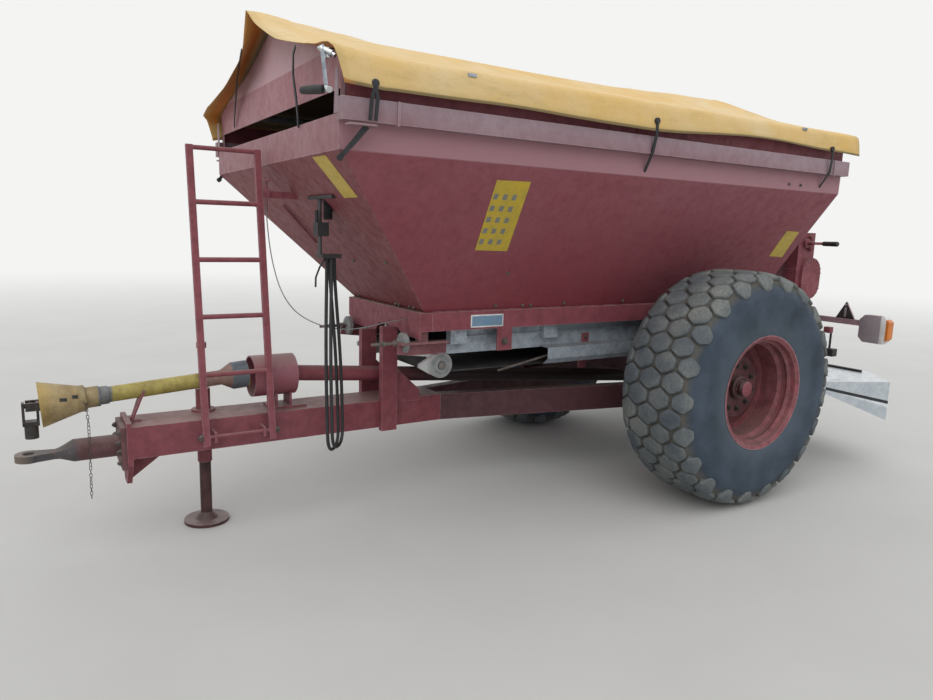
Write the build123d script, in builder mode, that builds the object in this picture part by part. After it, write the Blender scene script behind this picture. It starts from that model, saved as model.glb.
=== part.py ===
from build123d import *
from math import atan2, cos, degrees, hypot, pi, radians, sin, tan
import os

os.makedirs("parts", exist_ok=True)

# A trailed fertilizer spreader on two wide wheels, in millimetres.
# +X points to the towing eye, +Y to the left side with the ladder, +Z up.
# The origin is on the ground under the middle of the machine.
# Lengths named along X are measured forward from the axle.
front_reach = 3880
rear_reach = 1810
axle_x = (rear_reach - front_reach) / 2
sides = (("left", 1), ("right", -1))
seat_gap = 0.3
from_start = (Align.CENTER, Align.CENTER, Align.MIN)

# Wheels
tyre_radius = 735
tyre_half_width = 268
track_half = 1037
rim_flange_radius = 356
rim_half_width = 258
bead_seat_radius = 332
rim_well_radius = 300
rim_wall = 9
disc_offset = 62
hub_radius = 105
hub_length = 190
hub_nose_radius = 74
hub_nose_reach = 98
hub_cap_radius = 46
hub_cap_reach = 143
stub_radius = 45
stub_clearance = 0.05

# Lower chassis
beam_bottom = 475
beam_height = 165
beam_top = beam_bottom + beam_height
beam_half_width = 130
beam_wall = 8
beam_front = 3375
beam_rear = 1600
rail_width = 70
rail_bend = 100
rail_rear = -1100
rail_outer = 447
plate = 25
flange_drop = 153
axle_beam_size = 130
axle_beam_reach = 880
post_length = 100
post_width = 40
post_front = 2025
post_bottom = 460

# Hitch
eye_z = 515
eye_bore_radius = 25
eye_outer_radius = 58
eye_thickness = 34
hitch_radius = 56
hitch_rear = beam_front + 2 * plate
hitch_front = 3690

# Jack
jack_x = 2990
jack_y = -76
jack_sleeve_radius = 38
jack_sleeve_bottom = 352
jack_sleeve_top = 765
jack_leg_radius = 31
jack_travel = 230
jack_foot_radius = 120
jack_foot_thickness = 18
jack_screw_radius = 13
jack_screw_top = 1020

# Drive line along the middle
can_radius = 115
can_front = 2750
can_length = 240
can_rear = can_front - can_length
joint_x = can_front + 40
joint_z = 842
can_z = 826
drive_end_x = -1340
drive_end_z = 490
drive_radius = 45
pto_drop = 0.075
pto_length = 973
guard_radius = 40
cone_radius = 112
cone_length = 200
chain_y = 71
rest_x = 3295

# Upper frame
frame_bottom = 1100
frame_height = 105
frame_top = frame_bottom + frame_height
frame_half_width = 500
frame_rail_width = 60
frame_front = 1955
frame_rear = -1330
front_plate = 10
face_drop = 62
notch_lip = 8
notch_centre_y = 100
notch_half_width = 190

# Hopper
sheet = 5
hopper_bottom_half = 479
band_half = 1050
crease_inset = 3
crease_half = band_half - crease_inset
crease_z = 1978
band_top = 2092
hopper_front_bottom = 1920
lip_x = 2645
lip_top = 2123
hopper_rear = -950
door_half_width = 380
door_height = 270
top_rail_width = 50
top_rail_height = 92
top_rail_top = band_top + top_rail_height
rib_depth = 12
rib_xs = (lip_x - 245, hopper_rear + 170)

# Cover
cover_skin = 4
ridge_z = 2712
sag_half = 430
sag_z = 2530
shoulder_half = 900
shoulder_z = 2406
eave_half = 1112
eave_z = 2345
hem_half = 1124
hem_z = 2196
cover_front = 2715
cover_rear = -1010
gable_lean = 36
gable_leg = 48
panel_bottom = 2228
pole_radius = 20
pole_drop = 38

# Floor belt
roller_radius = 50
roller_z = 897
front_roller_x = 1793
rear_roller_x = -1250
belt_thickness = 9
belt_half_width = 392
trough_half = 402
trough_bottom = 950
bearing_radius = 73

# Rear spreading unit
spinner_x = -1440
spinner_y = 290
spinner_radius = 250
spinner_z = 560
spinner_thickness = 6
vane_height = 42
vane_count = 4
gearbox_bottom = 440
gearbox_top = 545
arm_bottom = 440
arm_top = 485
spindle_radius = 20
hood_z = 655
hood_skin = 3
hood_depth = 195
flap_depth = 85

# Chain case of the rear roller
case_x = -1290
case_z = 1345
case_in = 560
case_out = 660
case_radius = 100
cover_x = -1318
cover_z = 1375
cover_rise = 26
housing_rear = -1362
housing_front = -1165
housing_top = 1718

# Ladder
ladder_front_x = 3034
ladder_rear_x = 2690
ladder_tube = 34
ladder_pivot_y = 195
ladder_pivot_z = 560
ladder_top_z = 2050
ladder_top_y = 5
rung_heights = (883, 1181, 1473, 1765)
pivot_rod_radius = 9.95
pivot_clearance = 0.05


def block(x0, x1, y0, y1, z0, z1, mode=Mode.ADD):
    """A rectangular block between two corners; x is measured from the axle."""
    with Locations((axle_x + (x0 + x1) / 2, (y0 + y1) / 2, (z0 + z1) / 2)):
        Box(abs(x1 - x0), abs(y1 - y0), abs(z1 - z0), mode=mode)


def rod(start, end, radius, mode=Mode.ADD):
    """A round bar between two points; x is measured from the axle."""
    a = Vector(axle_x + start[0], start[1], start[2])
    b = Vector(axle_x + end[0], end[1], end[2])
    with Locations(Plane(a, z_dir=b - a)):
        Cylinder(radius, (b - a).length, align=from_start, mode=mode)


def cone(start, end, r_start, r_end, mode=Mode.ADD):
    """A round taper between two points; x is measured from the axle."""
    a = Vector(axle_x + start[0], start[1], start[2])
    b = Vector(axle_x + end[0], end[1], end[2])
    with Locations(Plane(a, z_dir=b - a)):
        Cone(r_start, r_end, (b - a).length, align=from_start, mode=mode)


def flat_plate(points, plane, thickness, mode=Mode.ADD):
    """A plate with the outline of the points in the plane, raised along its normal."""
    with BuildSketch(plane) as outline:
        with BuildLine():
            Polyline(*points, close=True)
        make_face()
    extrude(outline.sketch, amount=thickness, mode=mode)


def side_plane(y):
    """A plane whose local x is forward from the axle and local y is up, facing right."""
    return Plane((axle_x, y, 0), x_dir=(1, 0, 0), z_dir=(0, -1, 0))


def cross_plane(x):
    """A plane across the machine whose local x is left and local y is up, facing forward."""
    return Plane((axle_x + x, 0, 0), x_dir=(0, 1, 0), z_dir=(1, 0, 0))


pto_angle = atan2(pto_drop, 1)


def along_pto(distance):
    return (joint_x + distance * cos(pto_angle), 0, joint_z - distance * sin(pto_angle))


def finish(piece, name):
    piece.label = name
    export_step(piece, f"parts/{name}.step")


# Wheels, each turned about its axle: outward distance from the wheel's middle, then radius.
# Rim section from flange to well, as place across and radius: the outer side has its humps, the inner is plain.
rim_outboard = (
    (rim_half_width, rim_flange_radius),
    (rim_half_width - 10, bead_seat_radius + 4),
    (rim_half_width - 42, bead_seat_radius),
    (rim_half_width - 52, bead_seat_radius - 16),
    (rim_half_width - 74, bead_seat_radius - 10),
    (rim_half_width - 98, bead_seat_radius - 12),
    (rim_half_width - 110, rim_well_radius),
)
rim_inboard = (
    (90 - rim_half_width, rim_well_radius),
    (50 - rim_half_width, bead_seat_radius),
    (10 - rim_half_width, bead_seat_radius + 4),
    (-rim_half_width, rim_flange_radius),
)
for side, s in sides:
    centre = Vector(axle_x, s * track_half, tyre_radius)
    wheel_plane = Plane(centre, x_dir=(0, s, 0), z_dir=(s, 0, 0))
    wheel_axis = Axis(centre, (0, 1, 0))

    with BuildPart() as tyre:
        with BuildSketch(wheel_plane):
            with BuildLine():
                half = tyre_half_width
                wall = (
                    (rim_half_width - 12, bead_seat_radius + 4.5), (half - 2, 410), (half, 560),
                    (half - 12, tyre_radius - 70), (half - 44, tyre_radius - 23), (half - 130, tyre_radius),
                )
                Polyline(*wall, *[(-y, r) for y, r in reversed(wall)], close=True)
            make_face()
        revolve(axis=wheel_axis)
    finish(tyre.part, f"tyre_{side}")

    with BuildPart() as rim:
        with BuildSketch(wheel_plane):
            with BuildLine():
                outer = rim_outboard + rim_inboard
                inner = [(y, r - rim_wall) for y, r in reversed(outer)]
                Polyline(*outer, *inner, close=True)
            make_face()
        revolve(axis=wheel_axis)
        with BuildSketch(wheel_plane):
            with BuildLine():
                weld = rim_well_radius - rim_wall + 1
                Polyline(
                    (disc_offset, hub_nose_radius + 1),
                    (disc_offset, 190),
                    (disc_offset - 34, 250),
                    (disc_offset - 34, weld),
                    (disc_offset - 48, weld),
                    (disc_offset - 48, 244),
                    (disc_offset - 16, 184),
                    (disc_offset - 16, hub_nose_radius + 1),
                    close=True,
                )
            make_face()
        revolve(axis=wheel_axis)
    finish(rim.part, f"rim_{side}")

    with BuildPart() as hub:
        with BuildSketch(wheel_plane):
            with BuildLine():
                back = disc_offset - 16 - seat_gap
                Polyline(
                    (back - hub_length, stub_radius + stub_clearance),
                    (back - hub_length, hub_radius - 25),
                    (back - 60, hub_radius),
                    (back - 18, hub_radius),
                    (back - 18, 160),
                    (back, 160),
                    (back, hub_nose_radius),
                    (hub_nose_reach - 8, hub_nose_radius),
                    (hub_nose_reach, hub_nose_radius - 8),
                    (hub_nose_reach, hub_cap_radius),
                    (hub_cap_reach - 22, hub_cap_radius),
                    (hub_cap_reach - 6, hub_cap_radius - 14),
                    (hub_cap_reach, 14),
                    (hub_cap_reach, 0),
                    (hub_nose_reach - 12, 0),
                    (hub_nose_reach - 12, stub_radius + stub_clearance),
                    close=True,
                )
            make_face()
        revolve(axis=wheel_axis)
    finish(hub.part, f"hub_{side}")

# Axle beam with its two stubs, seated on the chassis rails by pads.
stub_end = track_half + hub_nose_reach - 22
with BuildPart() as axle_beam:
    half = axle_beam_size / 2
    block(-half, half, -axle_beam_reach, axle_beam_reach, tyre_radius - half, tyre_radius + half)
    rod((0, -stub_end, tyre_radius), (0, stub_end, tyre_radius), stub_radius)
    for side, s in sides:
        block(-half, half, s * (rail_outer - rail_width), s * rail_outer, beam_top, tyre_radius - half)
finish(axle_beam.part, "axle_beam")

# Drawbar: a box beam with the jack's hole, ladder lugs, drive rest, coupling stand and end flange.
lug_xs = (ladder_rear_x + 45, ladder_front_x - 45)
with BuildPart() as drawbar_beam:
    block(beam_rear, beam_front, -beam_half_width, beam_half_width, beam_bottom, beam_top)
    block(
        beam_rear + beam_wall, beam_front - beam_wall,
        beam_wall - beam_half_width, beam_half_width - beam_wall,
        beam_bottom + beam_wall, beam_top - beam_wall, mode=Mode.SUBTRACT,
    )
    rod(
        (jack_x, jack_y, beam_bottom - 1), (jack_x, jack_y, beam_top + 1),
        jack_sleeve_radius + seat_gap, mode=Mode.SUBTRACT,
    )
    for x in lug_xs:
        block(x - 6, x + 6, beam_half_width, ladder_pivot_y + 22, ladder_pivot_z - 26, ladder_pivot_z + 26)
        rod(
            (x - 7, ladder_pivot_y, ladder_pivot_z), (x + 7, ladder_pivot_y, ladder_pivot_z),
            pivot_rod_radius + pivot_clearance, mode=Mode.SUBTRACT,
        )
    block(can_rear - 60, can_front - 90, -70, 70, beam_top, beam_top + 12)
    for x in (can_rear + 30, can_front - 130):
        block(x - 6, x + 6, -60, 60, beam_top + 12, can_z - can_radius + 30)
    rod((can_rear, 0, can_z), (can_front, 0, can_z), can_radius, mode=Mode.SUBTRACT)

    tube_z = joint_z - pto_drop * (rest_x - joint_x)
    foot_x = rest_x + 62
    lean = Plane(
        (axle_x + foot_x, 0, beam_top), x_dir=(0, 1, 0),
        z_dir=(tube_z - beam_top, 0, foot_x - rest_x),
    )
    rise = hypot(tube_z - beam_top, foot_x - rest_x)
    flat_plate(((-22, 0), (22, 0), (48, rise - 30), (48, rise), (-48, rise), (-48, rise - 30)), lean, 10)
    block(foot_x - 40, foot_x + 2, -22, 22, beam_top, beam_top + 10)
    rod(along_pto(300), along_pto(700), guard_radius + seat_gap, mode=Mode.SUBTRACT)

    half = beam_half_width
    flange = (
        (-half, beam_top + 22), (half, beam_top + 22), (half, beam_bottom - 35), (40, beam_bottom - flange_drop),
        (-40, beam_bottom - flange_drop), (-half, beam_bottom - 35),
    )
    flat_plate(flange, cross_plane(beam_front), plate)
    flat_plate(
        (
            (beam_front, beam_bottom - flange_drop + 13), (beam_front, beam_bottom),
            (beam_front - 190, beam_bottom),
        ),
        side_plane(8), 16,
    )
finish(drawbar_beam.part, "drawbar_beam")

# The bolted plate, round shank and forged towing eye.
eye_centre = front_reach - eye_outer_radius
with BuildPart() as towing_eye:
    half = beam_half_width - 10
    flat_plate(
        ((-half, beam_top), (half, beam_top), (half, beam_bottom - 55), (-half, beam_bottom - 55)),
        cross_plane(beam_front + plate), plate,
    )
    rod((hitch_rear, 0, eye_z + 8), (hitch_front - 60, 0, eye_z + 8), hitch_radius)
    with BuildSketch(cross_plane(hitch_front - 60)):
        with Locations((0, eye_z + 8)):
            Circle(hitch_radius)
    with BuildSketch(cross_plane(hitch_front + 20)):
        with Locations((0, eye_z)):
            Rectangle(64, eye_thickness)
    loft()
    with BuildSketch(Plane((axle_x, 0, eye_z - eye_thickness / 2))):
        with BuildLine():
            Polyline(
                (hitch_front + 19, -32), (eye_centre, 4 - eye_outer_radius),
                (eye_centre, eye_outer_radius - 4), (hitch_front + 19, 32), close=True,
            )
        make_face()
        with Locations((eye_centre, 0)):
            Circle(eye_outer_radius)
            Circle(eye_bore_radius, mode=Mode.SUBTRACT)
    extrude(amount=eye_thickness)
finish(towing_eye.part, "towing_eye")

# Chassis rails: they leave the drawbar's end, spread to the axle and run back straight.
with BuildPart() as chassis_rails:
    for side, s in sides:
        outline = (
            (beam_rear, s * beam_half_width),
            (rail_bend, s * rail_outer),
            (rail_rear, s * rail_outer),
            (rail_rear, s * (rail_outer - rail_width)),
            (rail_bend - 8, s * (rail_outer - rail_width)),
            (beam_rear, s * (beam_half_width - rail_width)),
        )
        flat_plate(outline, Plane((axle_x, 0, beam_bottom)), beam_height)
finish(chassis_rails.part, "chassis_rails")

# Posts between the chassis and the hopper's frame.
with BuildPart() as front_posts:
    for s, top in ((1, frame_bottom - notch_lip), (-1, frame_bottom - face_drop)):
        block(
            post_front - post_length, post_front, s * beam_half_width, s * (beam_half_width + post_width),
            post_bottom, top,
        )
        gusset = (
            (post_front - post_length, beam_top + 200), (post_front - post_length, beam_top - 20),
            (post_front - post_length - 170, beam_top - 20), (post_front - post_length - 170, beam_top + 45),
        )
        flat_plate(gusset, side_plane(s * (beam_half_width + 6) + 6), 12)
finish(front_posts.part, "front_posts")

rear_post_x = rail_rear + 60
with BuildPart() as rear_posts:
    for side, s in sides:
        block(-45, 45, s * 410, s * frame_half_width, tyre_radius + axle_beam_size / 2, frame_bottom)
        block(rear_post_x - 40, rear_post_x + 40, s * 410, s * frame_half_width, beam_top, frame_bottom)
finish(rear_posts.part, "rear_posts")

# Upper frame: two channel rails, the front member with its notched face plate, and a rear member.
rail_web = 8
with BuildPart() as frame_rails:
    for side, s in sides:
        inner = s * (frame_half_width - frame_rail_width)
        outer = s * frame_half_width
        web = s * (frame_half_width - rail_web)
        channel = (
            (inner, frame_bottom), (outer, frame_bottom), (outer, frame_top), (inner, frame_top),
            (inner, frame_top - rail_web), (web, frame_top - rail_web),
            (web, frame_bottom + rail_web), (inner, frame_bottom + rail_web),
        )
        flat_plate(channel, cross_plane(frame_rear), frame_front - 80 - frame_rear)
        block(1330, 1435, s * (frame_half_width - 12), outer, frame_bottom - 135, frame_bottom + rail_web)
finish(frame_rails.part, "frame_rails")

with BuildPart() as frame_front_member:
    half = frame_half_width
    block(frame_front - 80, frame_front - front_plate, -half, half, frame_bottom, frame_top)
    face = (
        (-frame_half_width, frame_top), (frame_half_width, frame_top),
        (frame_half_width, frame_bottom - 40), (notch_centre_y + notch_half_width, frame_bottom - 40),
        (notch_centre_y + notch_half_width - 60, frame_bottom - notch_lip),
        (notch_centre_y - notch_half_width + 60, frame_bottom - notch_lip),
        (notch_centre_y - notch_half_width, frame_bottom - face_drop),
        (60 - frame_half_width, frame_bottom - face_drop),
        (-frame_half_width, frame_bottom - 10),
    )
    flat_plate(face, cross_plane(frame_front - front_plate), front_plate)
finish(frame_front_member.part, "frame_front_member")

# Hopper walls. The front wall lies on a slope from the frame up to the lip.
slope_run = lip_x - hopper_front_bottom
slope_rise = crease_z - frame_top
slope_length = hypot(slope_run, slope_rise)
front_slope = Plane(
    (axle_x + hopper_front_bottom, 0, frame_top), x_dir=(0, 1, 0),
    z_dir=(slope_rise, 0, -slope_run),
)
with BuildPart() as hopper_front_wall:
    trapezoid = (
        (-hopper_bottom_half, 0), (hopper_bottom_half, 0),
        (crease_half, slope_length), (-crease_half, slope_length),
    )
    flat_plate(trapezoid, front_slope, -sheet)
    split(bisect_by=Plane.XY.offset(crease_z), keep=Keep.BOTTOM)
finish(hopper_front_wall.part, "hopper_front_wall")

for side, s in sides:
    with BuildPart() as hopper_side:
        with BuildSketch(cross_plane(hopper_rear)):
            with BuildLine():
                Polyline(
                    (s * hopper_bottom_half, frame_top), (s * crease_half, crease_z),
                    (s * band_half, band_top),
                )
                offset(amount=sheet, side=Side.LEFT if s > 0 else Side.RIGHT, closed=True)
            make_face()
        extrude(amount=lip_x - sheet - hopper_rear)
        inside = front_slope.offset(-sheet - seat_gap)
        split(bisect_by=inside, keep=Keep.BOTTOM)
        block(
            hopper_rear, hopper_front_bottom - 50, s * (frame_half_width - 22), s * (frame_half_width - 8),
            frame_top, frame_top + sheet,
        )
    finish(hopper_side.part, f"hopper_side_{side}")

door_x = hopper_rear - sheet - seat_gap
with BuildPart() as hopper_rear_wall:
    outline = (
        (-hopper_bottom_half, frame_top), (hopper_bottom_half, frame_top), (crease_half, crease_z),
        (band_half, band_top), (-band_half, band_top), (-crease_half, crease_z),
    )
    flat_plate(outline, cross_plane(hopper_rear - sheet), sheet)
    block(
        hopper_rear - sheet - 1, hopper_rear + 1, -door_half_width, door_half_width,
        frame_top - 1, frame_top + door_height, mode=Mode.SUBTRACT,
    )
    for side, s in sides:
        guide_y = s * (door_half_width + 26)
        guide = (guide_y, guide_y + s * 12, frame_top + 8, frame_top + 2 * door_height + 90)
        block(door_x - 14, hopper_rear - sheet, *guide)
        block(door_x - 14, door_x - 6 - seat_gap, guide_y - s * 16, *guide[1:])
finish(hopper_rear_wall.part, "hopper_rear_wall")

with BuildPart() as hopper_lip:
    block(lip_x - sheet, lip_x, -crease_half, crease_half, crease_z, lip_top)
    block(lip_x - 70, lip_x - sheet, -crease_half, crease_half, lip_top - sheet, lip_top)
finish(hopper_lip.part, "hopper_lip")

with BuildPart() as top_rails:
    for side, s in sides:
        block(
            hopper_rear - 10, lip_x + 8, s * band_half, s * (band_half + top_rail_width),
            band_top, top_rail_top,
        )
        for x in rib_xs:
            block(
                x - 5, x + 5, s * (band_half + top_rail_width - 1), s * (band_half + top_rail_width + rib_depth),
                band_top - 8, top_rail_top,
            )
    rail_inside = crease_half - sheet - seat_gap
    cross_rail = (lip_x - 70, lip_x - 30)
    block(*cross_rail, -band_half, band_half, band_top + 1, lip_top - sheet - seat_gap)
    block(*cross_rail, -rail_inside, rail_inside, band_top - 35, band_top + 1)
    block(hopper_rear, hopper_rear + 40, -band_half, band_half, band_top + 30, top_rail_top)
finish(top_rails.part, "top_rails")

# Gable panels close the ends under the cover: an upright lower panel on two legs and a leaning upper one.
eave_fall = (shoulder_z - eave_z) / (eave_half - shoulder_half)
cover_drop = 1.1 * cover_skin + seat_gap
fold_z = shoulder_z - cover_drop
gable_front = lip_x - 30
corner_z = fold_z - (band_half - shoulder_half) * eave_fall
with BuildPart() as gables:
    for x, lean, foot_z in ((gable_front, -gable_lean, lip_top), (hopper_rear, gable_lean, top_rail_top)):
        half_panel = ((band_half, panel_bottom), (band_half, corner_z), (shoulder_half, fold_z))
        flat_plate(
            [*half_panel, *[(-y, z) for y, z in reversed(half_panel)]], cross_plane(x), sheet,
        )
        for side, s in sides:
            block(x, x + sheet, s * (band_half - gable_leg), s * crease_half, foot_z, panel_bottom + 1)
        rise = ridge_z - cover_drop - fold_z
        slant = hypot(rise, lean) / rise
        inward = 1 if lean > 0 else -1
        face_x = axle_x + x + (sheet if lean < 0 else 0)
        upper_plane = Plane((face_x, 0, fold_z), x_dir=(0, 1, 0), z_dir=(rise, 0, -lean))
        half_top = ((shoulder_half, 0), (sag_half, (sag_z - cover_drop - fold_z) * slant))
        flat_plate(
            [
                (shoulder_half, -1), *half_top, (0, rise * slant), *[(-y, z) for y, z in reversed(half_top)],
                (-shoulder_half, -1),
            ],
            upper_plane, inward * sheet,
        )
finish(gables.part, "gables")

# Poles under the cover, resting in the gables.
with BuildPart() as cover_poles:
    for y, z in ((0, ridge_z), (shoulder_half - 20, fold_z), (20 - shoulder_half, fold_z)):
        pole_z = z - pole_radius - pole_drop
        inset = gable_lean * max(0, pole_z + pole_radius - fold_z) / (ridge_z - fold_z) + 2 * seat_gap
        rod((hopper_rear + sheet + inset, y, pole_z), (gable_front - inset, y, pole_z), pole_radius)
finish(cover_poles.part, "cover_poles")

with BuildPart() as tarp_cover:
    with BuildSketch(cross_plane(cover_rear)):
        with BuildLine():
            Polyline(
                (hem_half, hem_z), (eave_half, eave_z), (shoulder_half, shoulder_z), (sag_half, sag_z),
                (0, ridge_z), (-sag_half, sag_z), (-shoulder_half, shoulder_z), (-eave_half, eave_z),
                (-hem_half, hem_z),
            )
            offset(amount=cover_skin, side=Side.LEFT, closed=True)
        make_face()
    extrude(amount=cover_front - cover_rear)
finish(tarp_cover.part, "tarp_cover")

# Floor belt on two rollers, with side bearings and pale trough plates under the frame.
belt_outer = roller_radius + belt_thickness
with BuildPart() as floor_belt:
    for radius, mode in ((belt_outer, Mode.ADD), (roller_radius + seat_gap, Mode.SUBTRACT)):
        with BuildSketch(side_plane(belt_half_width)):
            with Locations(((front_roller_x + rear_roller_x) / 2, roller_z)):
                SlotCenterToCenter(front_roller_x - rear_roller_x, 2 * radius)
        extrude(amount=2 * belt_half_width, mode=mode)
finish(floor_belt.part, "floor_belt")

with BuildPart() as belt_rollers:
    for x in (front_roller_x, rear_roller_x):
        rod((x, -belt_half_width, roller_z), (x, belt_half_width, roller_z), roller_radius)
        rod((x, -belt_half_width - 80, roller_z), (x, belt_half_width + 80, roller_z), 20)
    rod((rear_roller_x, belt_half_width, roller_z), (rear_roller_x, case_in + 30, roller_z), 20)
finish(belt_rollers.part, "belt_rollers")

# Each roller turns in cast bearings: the front pair on tension arms under the frame, the rear pair on plates.
bracket_in = belt_half_width + 18
tension_top = frame_bottom - face_drop - 1
tension_front = front_roller_x + 255
with BuildPart() as roller_brackets:
    for side, s in sides:
        block(
            rear_roller_x - 40, rear_roller_x + 40, s * bracket_in, s * (bracket_in + 12),
            roller_z - 40, frame_bottom,
        )
        block(
            rear_roller_x - 60, rear_roller_x + 60, s * bracket_in, s * frame_half_width,
            frame_bottom - 10, frame_bottom,
        )
        tension_arm = (
            (front_roller_x - 45, roller_z - 45), (front_roller_x + 40, roller_z - 45),
            (front_roller_x + 70, tension_top - 92), (tension_front, tension_top - 68), (tension_front, tension_top),
            (front_roller_x - 60, tension_top),
        )
        flat_plate(tension_arm, side_plane(s * bracket_in + (12 if s > 0 else 0)), 12)
        block(front_roller_x - 45, tension_front, s * bracket_in, s * (bracket_in + 62), tension_top - 10, tension_top)
        block(
            frame_front - 80, frame_front - 20, s * bracket_in, s * (bracket_in + 40),
            tension_top, frame_bottom,
        )
        for start, end, radius in ((-55, -35, 57), (-90, 150, 9)):
            bolt_line = s * (bracket_in - 14), tension_top - 8
            rod((tension_front + start, *bolt_line), (tension_front + end, *bolt_line), radius)
        for x, nose in ((front_roller_x, 1), (rear_roller_x, -1)):
            boss = (x, s * (bracket_in + 12), roller_z), (x, s * (bracket_in + 52), roller_z)
            rod(*boss, bearing_radius)
            lug = (
                (x, roller_z + bearing_radius), (x + nose * 70, roller_z + 42), (x + nose * 130, roller_z + 10),
                (x + nose * 130, roller_z - 12), (x + nose * 60, roller_z - 52), (x, roller_z - bearing_radius),
            )
            flat_plate(lug, side_plane(s * (bracket_in + 12) + (22 if s > 0 else 0)), 22)
        for x in (front_roller_x, rear_roller_x):
            rod(
                (x, s * (bracket_in - 1), roller_z), (x, s * (bracket_in + 53), roller_z),
                20 + seat_gap, mode=Mode.SUBTRACT,
            )
finish(roller_brackets.part, "roller_brackets")

# Pale side plates of the trough, with pads up to the frame and a folded guard over the belt's edge.
trough_spans = (
    (rear_roller_x + 85, rear_post_x - 42), (rear_post_x + 42, -50), (50, front_roller_x - 65),
)
guard_rear = 300
guard_front = 1050
with BuildPart() as belt_troughs:
    for side, s in sides:
        for x0, x1 in trough_spans:
            block(x0, x1, s * trough_half, s * (trough_half + 4), trough_bottom, frame_bottom)
            block(x0, x1, s * trough_half, s * (frame_half_width - 20), frame_bottom - 4, frame_bottom)
            block(x0, x1, s * trough_half, s * (trough_half + 24), trough_bottom + 96, trough_bottom + 100)
        for x in (guard_front - 108, front_roller_x - 175):
            block(x, x + 108, s * trough_half, s * (trough_half + 48), frame_bottom - 88, frame_bottom)
        guard = (
            (trough_half + 3, trough_bottom + 12), (frame_half_width, trough_bottom + 8),
            (frame_half_width, trough_bottom - 64), (frame_half_width - 40, trough_bottom - 100),
            (frame_half_width - 44, trough_bottom - 98), (frame_half_width - 4, trough_bottom - 62),
            (frame_half_width - 4, trough_bottom + 4), (trough_half + 3, trough_bottom + 8),
        )
        flat_plate([(s * y, z) for y, z in guard], cross_plane(guard_rear), guard_front - guard_rear)
finish(belt_troughs.part, "belt_troughs")

# Drive line: safety coupling can, sloping guard tube and the front shaft in its yellow guard.
with BuildPart() as coupling_can:
    rod((can_rear, 0, can_z), (can_front, 0, can_z), can_radius)
    rod((can_front - 60, 0, can_z), (can_front + 1, 0, can_z), can_radius - 8, mode=Mode.SUBTRACT)
finish(coupling_can.part, "coupling_can")

with BuildPart() as drive_tube:
    drive_slope = (can_z - drive_end_z) / (can_rear - drive_end_x)
    back_off = drive_radius * drive_slope + seat_gap
    rod((drive_end_x + back_off, 0, drive_end_z), (can_rear - back_off, 0, can_z), drive_radius)
finish(drive_tube.part, "drive_tube")

with BuildPart() as pto_guard:
    rod(along_pto(-20), along_pto(60), 74)
    cone(along_pto(60), along_pto(120), 74, guard_radius)
    rod(along_pto(120), along_pto(pto_length - cone_length), guard_radius)
    for start, end, radius in ((195, 120, 66), (260, 190, 52), (300, 255, 46)):
        rod(along_pto(pto_length - start), along_pto(pto_length - end), radius)
    cone(along_pto(pto_length - cone_length), along_pto(pto_length), guard_radius + 18, cone_radius)
    cone(
        along_pto(pto_length - cone_length + 60), along_pto(pto_length + 1),
        guard_radius, cone_radius - 6, Mode.SUBTRACT,
    )
    hook_x, hook_top, hook_z = along_pto(pto_length - cone_length + 8)
    block(hook_x - 5, hook_x + 5, guard_radius, chain_y + 6, hook_z - 6, hook_z + 4)
finish(pto_guard.part, "pto_guard")

yoke_x = joint_x + pto_length + 37
yoke_z = joint_z - pto_drop * pto_length
with BuildPart() as pto_stub:
    rod(along_pto(pto_length - cone_length + 60 + seat_gap), along_pto(pto_length - 60), 24)
    block(yoke_x - 100, yoke_x + 20, -40, -28, yoke_z - 20, yoke_z + 20)
    block(yoke_x - 100, yoke_x + 20, 28, 40, yoke_z - 20, yoke_z + 20)
    block(yoke_x - 112, yoke_x - 95, -40, 40, yoke_z - 20, yoke_z + 20)
    rod((yoke_x, -46, yoke_z), (yoke_x, -25, yoke_z), 12)
    rod((yoke_x, 25, yoke_z), (yoke_x, 46, yoke_z), 12)
finish(pto_stub.part, "pto_stub")

with BuildPart() as pto_yoke:
    rod((yoke_x, -24.7, yoke_z), (yoke_x, 24.7, yoke_z), 12)
    rod((yoke_x - 26, 0, yoke_z), (yoke_x + 26, 0, yoke_z), 12)
    for x in (yoke_x - 36, yoke_x + 24):
        block(x, x + 12, -20, 20, yoke_z - 80, yoke_z + 18)
    block(yoke_x - 36, yoke_x + 36, -30, 30, yoke_z - 95, yoke_z - 75)
    rod((yoke_x, 0, yoke_z - 160), (yoke_x, 0, yoke_z - 76), 30)
    rod((yoke_x, 0, yoke_z - 161), (yoke_x, 0, yoke_z - 95), 17.4, mode=Mode.SUBTRACT)
finish(pto_yoke.part, "pto_yoke")

# Jack: a sleeve through the drawbar with its screw, and the sliding leg with a round foot.
with BuildPart() as jack_sleeve:
    rod((jack_x, jack_y, jack_sleeve_bottom), (jack_x, jack_y, jack_sleeve_top), jack_sleeve_radius)
    rod((jack_x, jack_y, beam_top), (jack_x, jack_y, beam_top + 12), 62)
    rod((jack_x, jack_y, jack_sleeve_top), (jack_x, jack_y, jack_screw_top - 30), jack_screw_radius)
    rod((jack_x, jack_y, jack_screw_top - 30), (jack_x, jack_y, jack_screw_top), 26)
    rod(
        (jack_x, jack_y, jack_sleeve_bottom - 1), (jack_x, jack_y, jack_sleeve_top - 12),
        jack_leg_radius + 0.5, mode=Mode.SUBTRACT,
    )
finish(jack_sleeve.part, "jack_sleeve")

with BuildPart() as jack_leg:
    leg_top = jack_sleeve_top - 12 - jack_travel - 8
    rod((jack_x, jack_y, jack_foot_thickness), (jack_x, jack_y, leg_top), jack_leg_radius)
    rod((jack_x, jack_y, 0), (jack_x, jack_y, jack_foot_thickness), jack_foot_radius)
    cone((jack_x, jack_y, jack_foot_thickness), (jack_x, jack_y, 55), 60, jack_leg_radius)
finish(jack_leg.part, "jack_leg")

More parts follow.
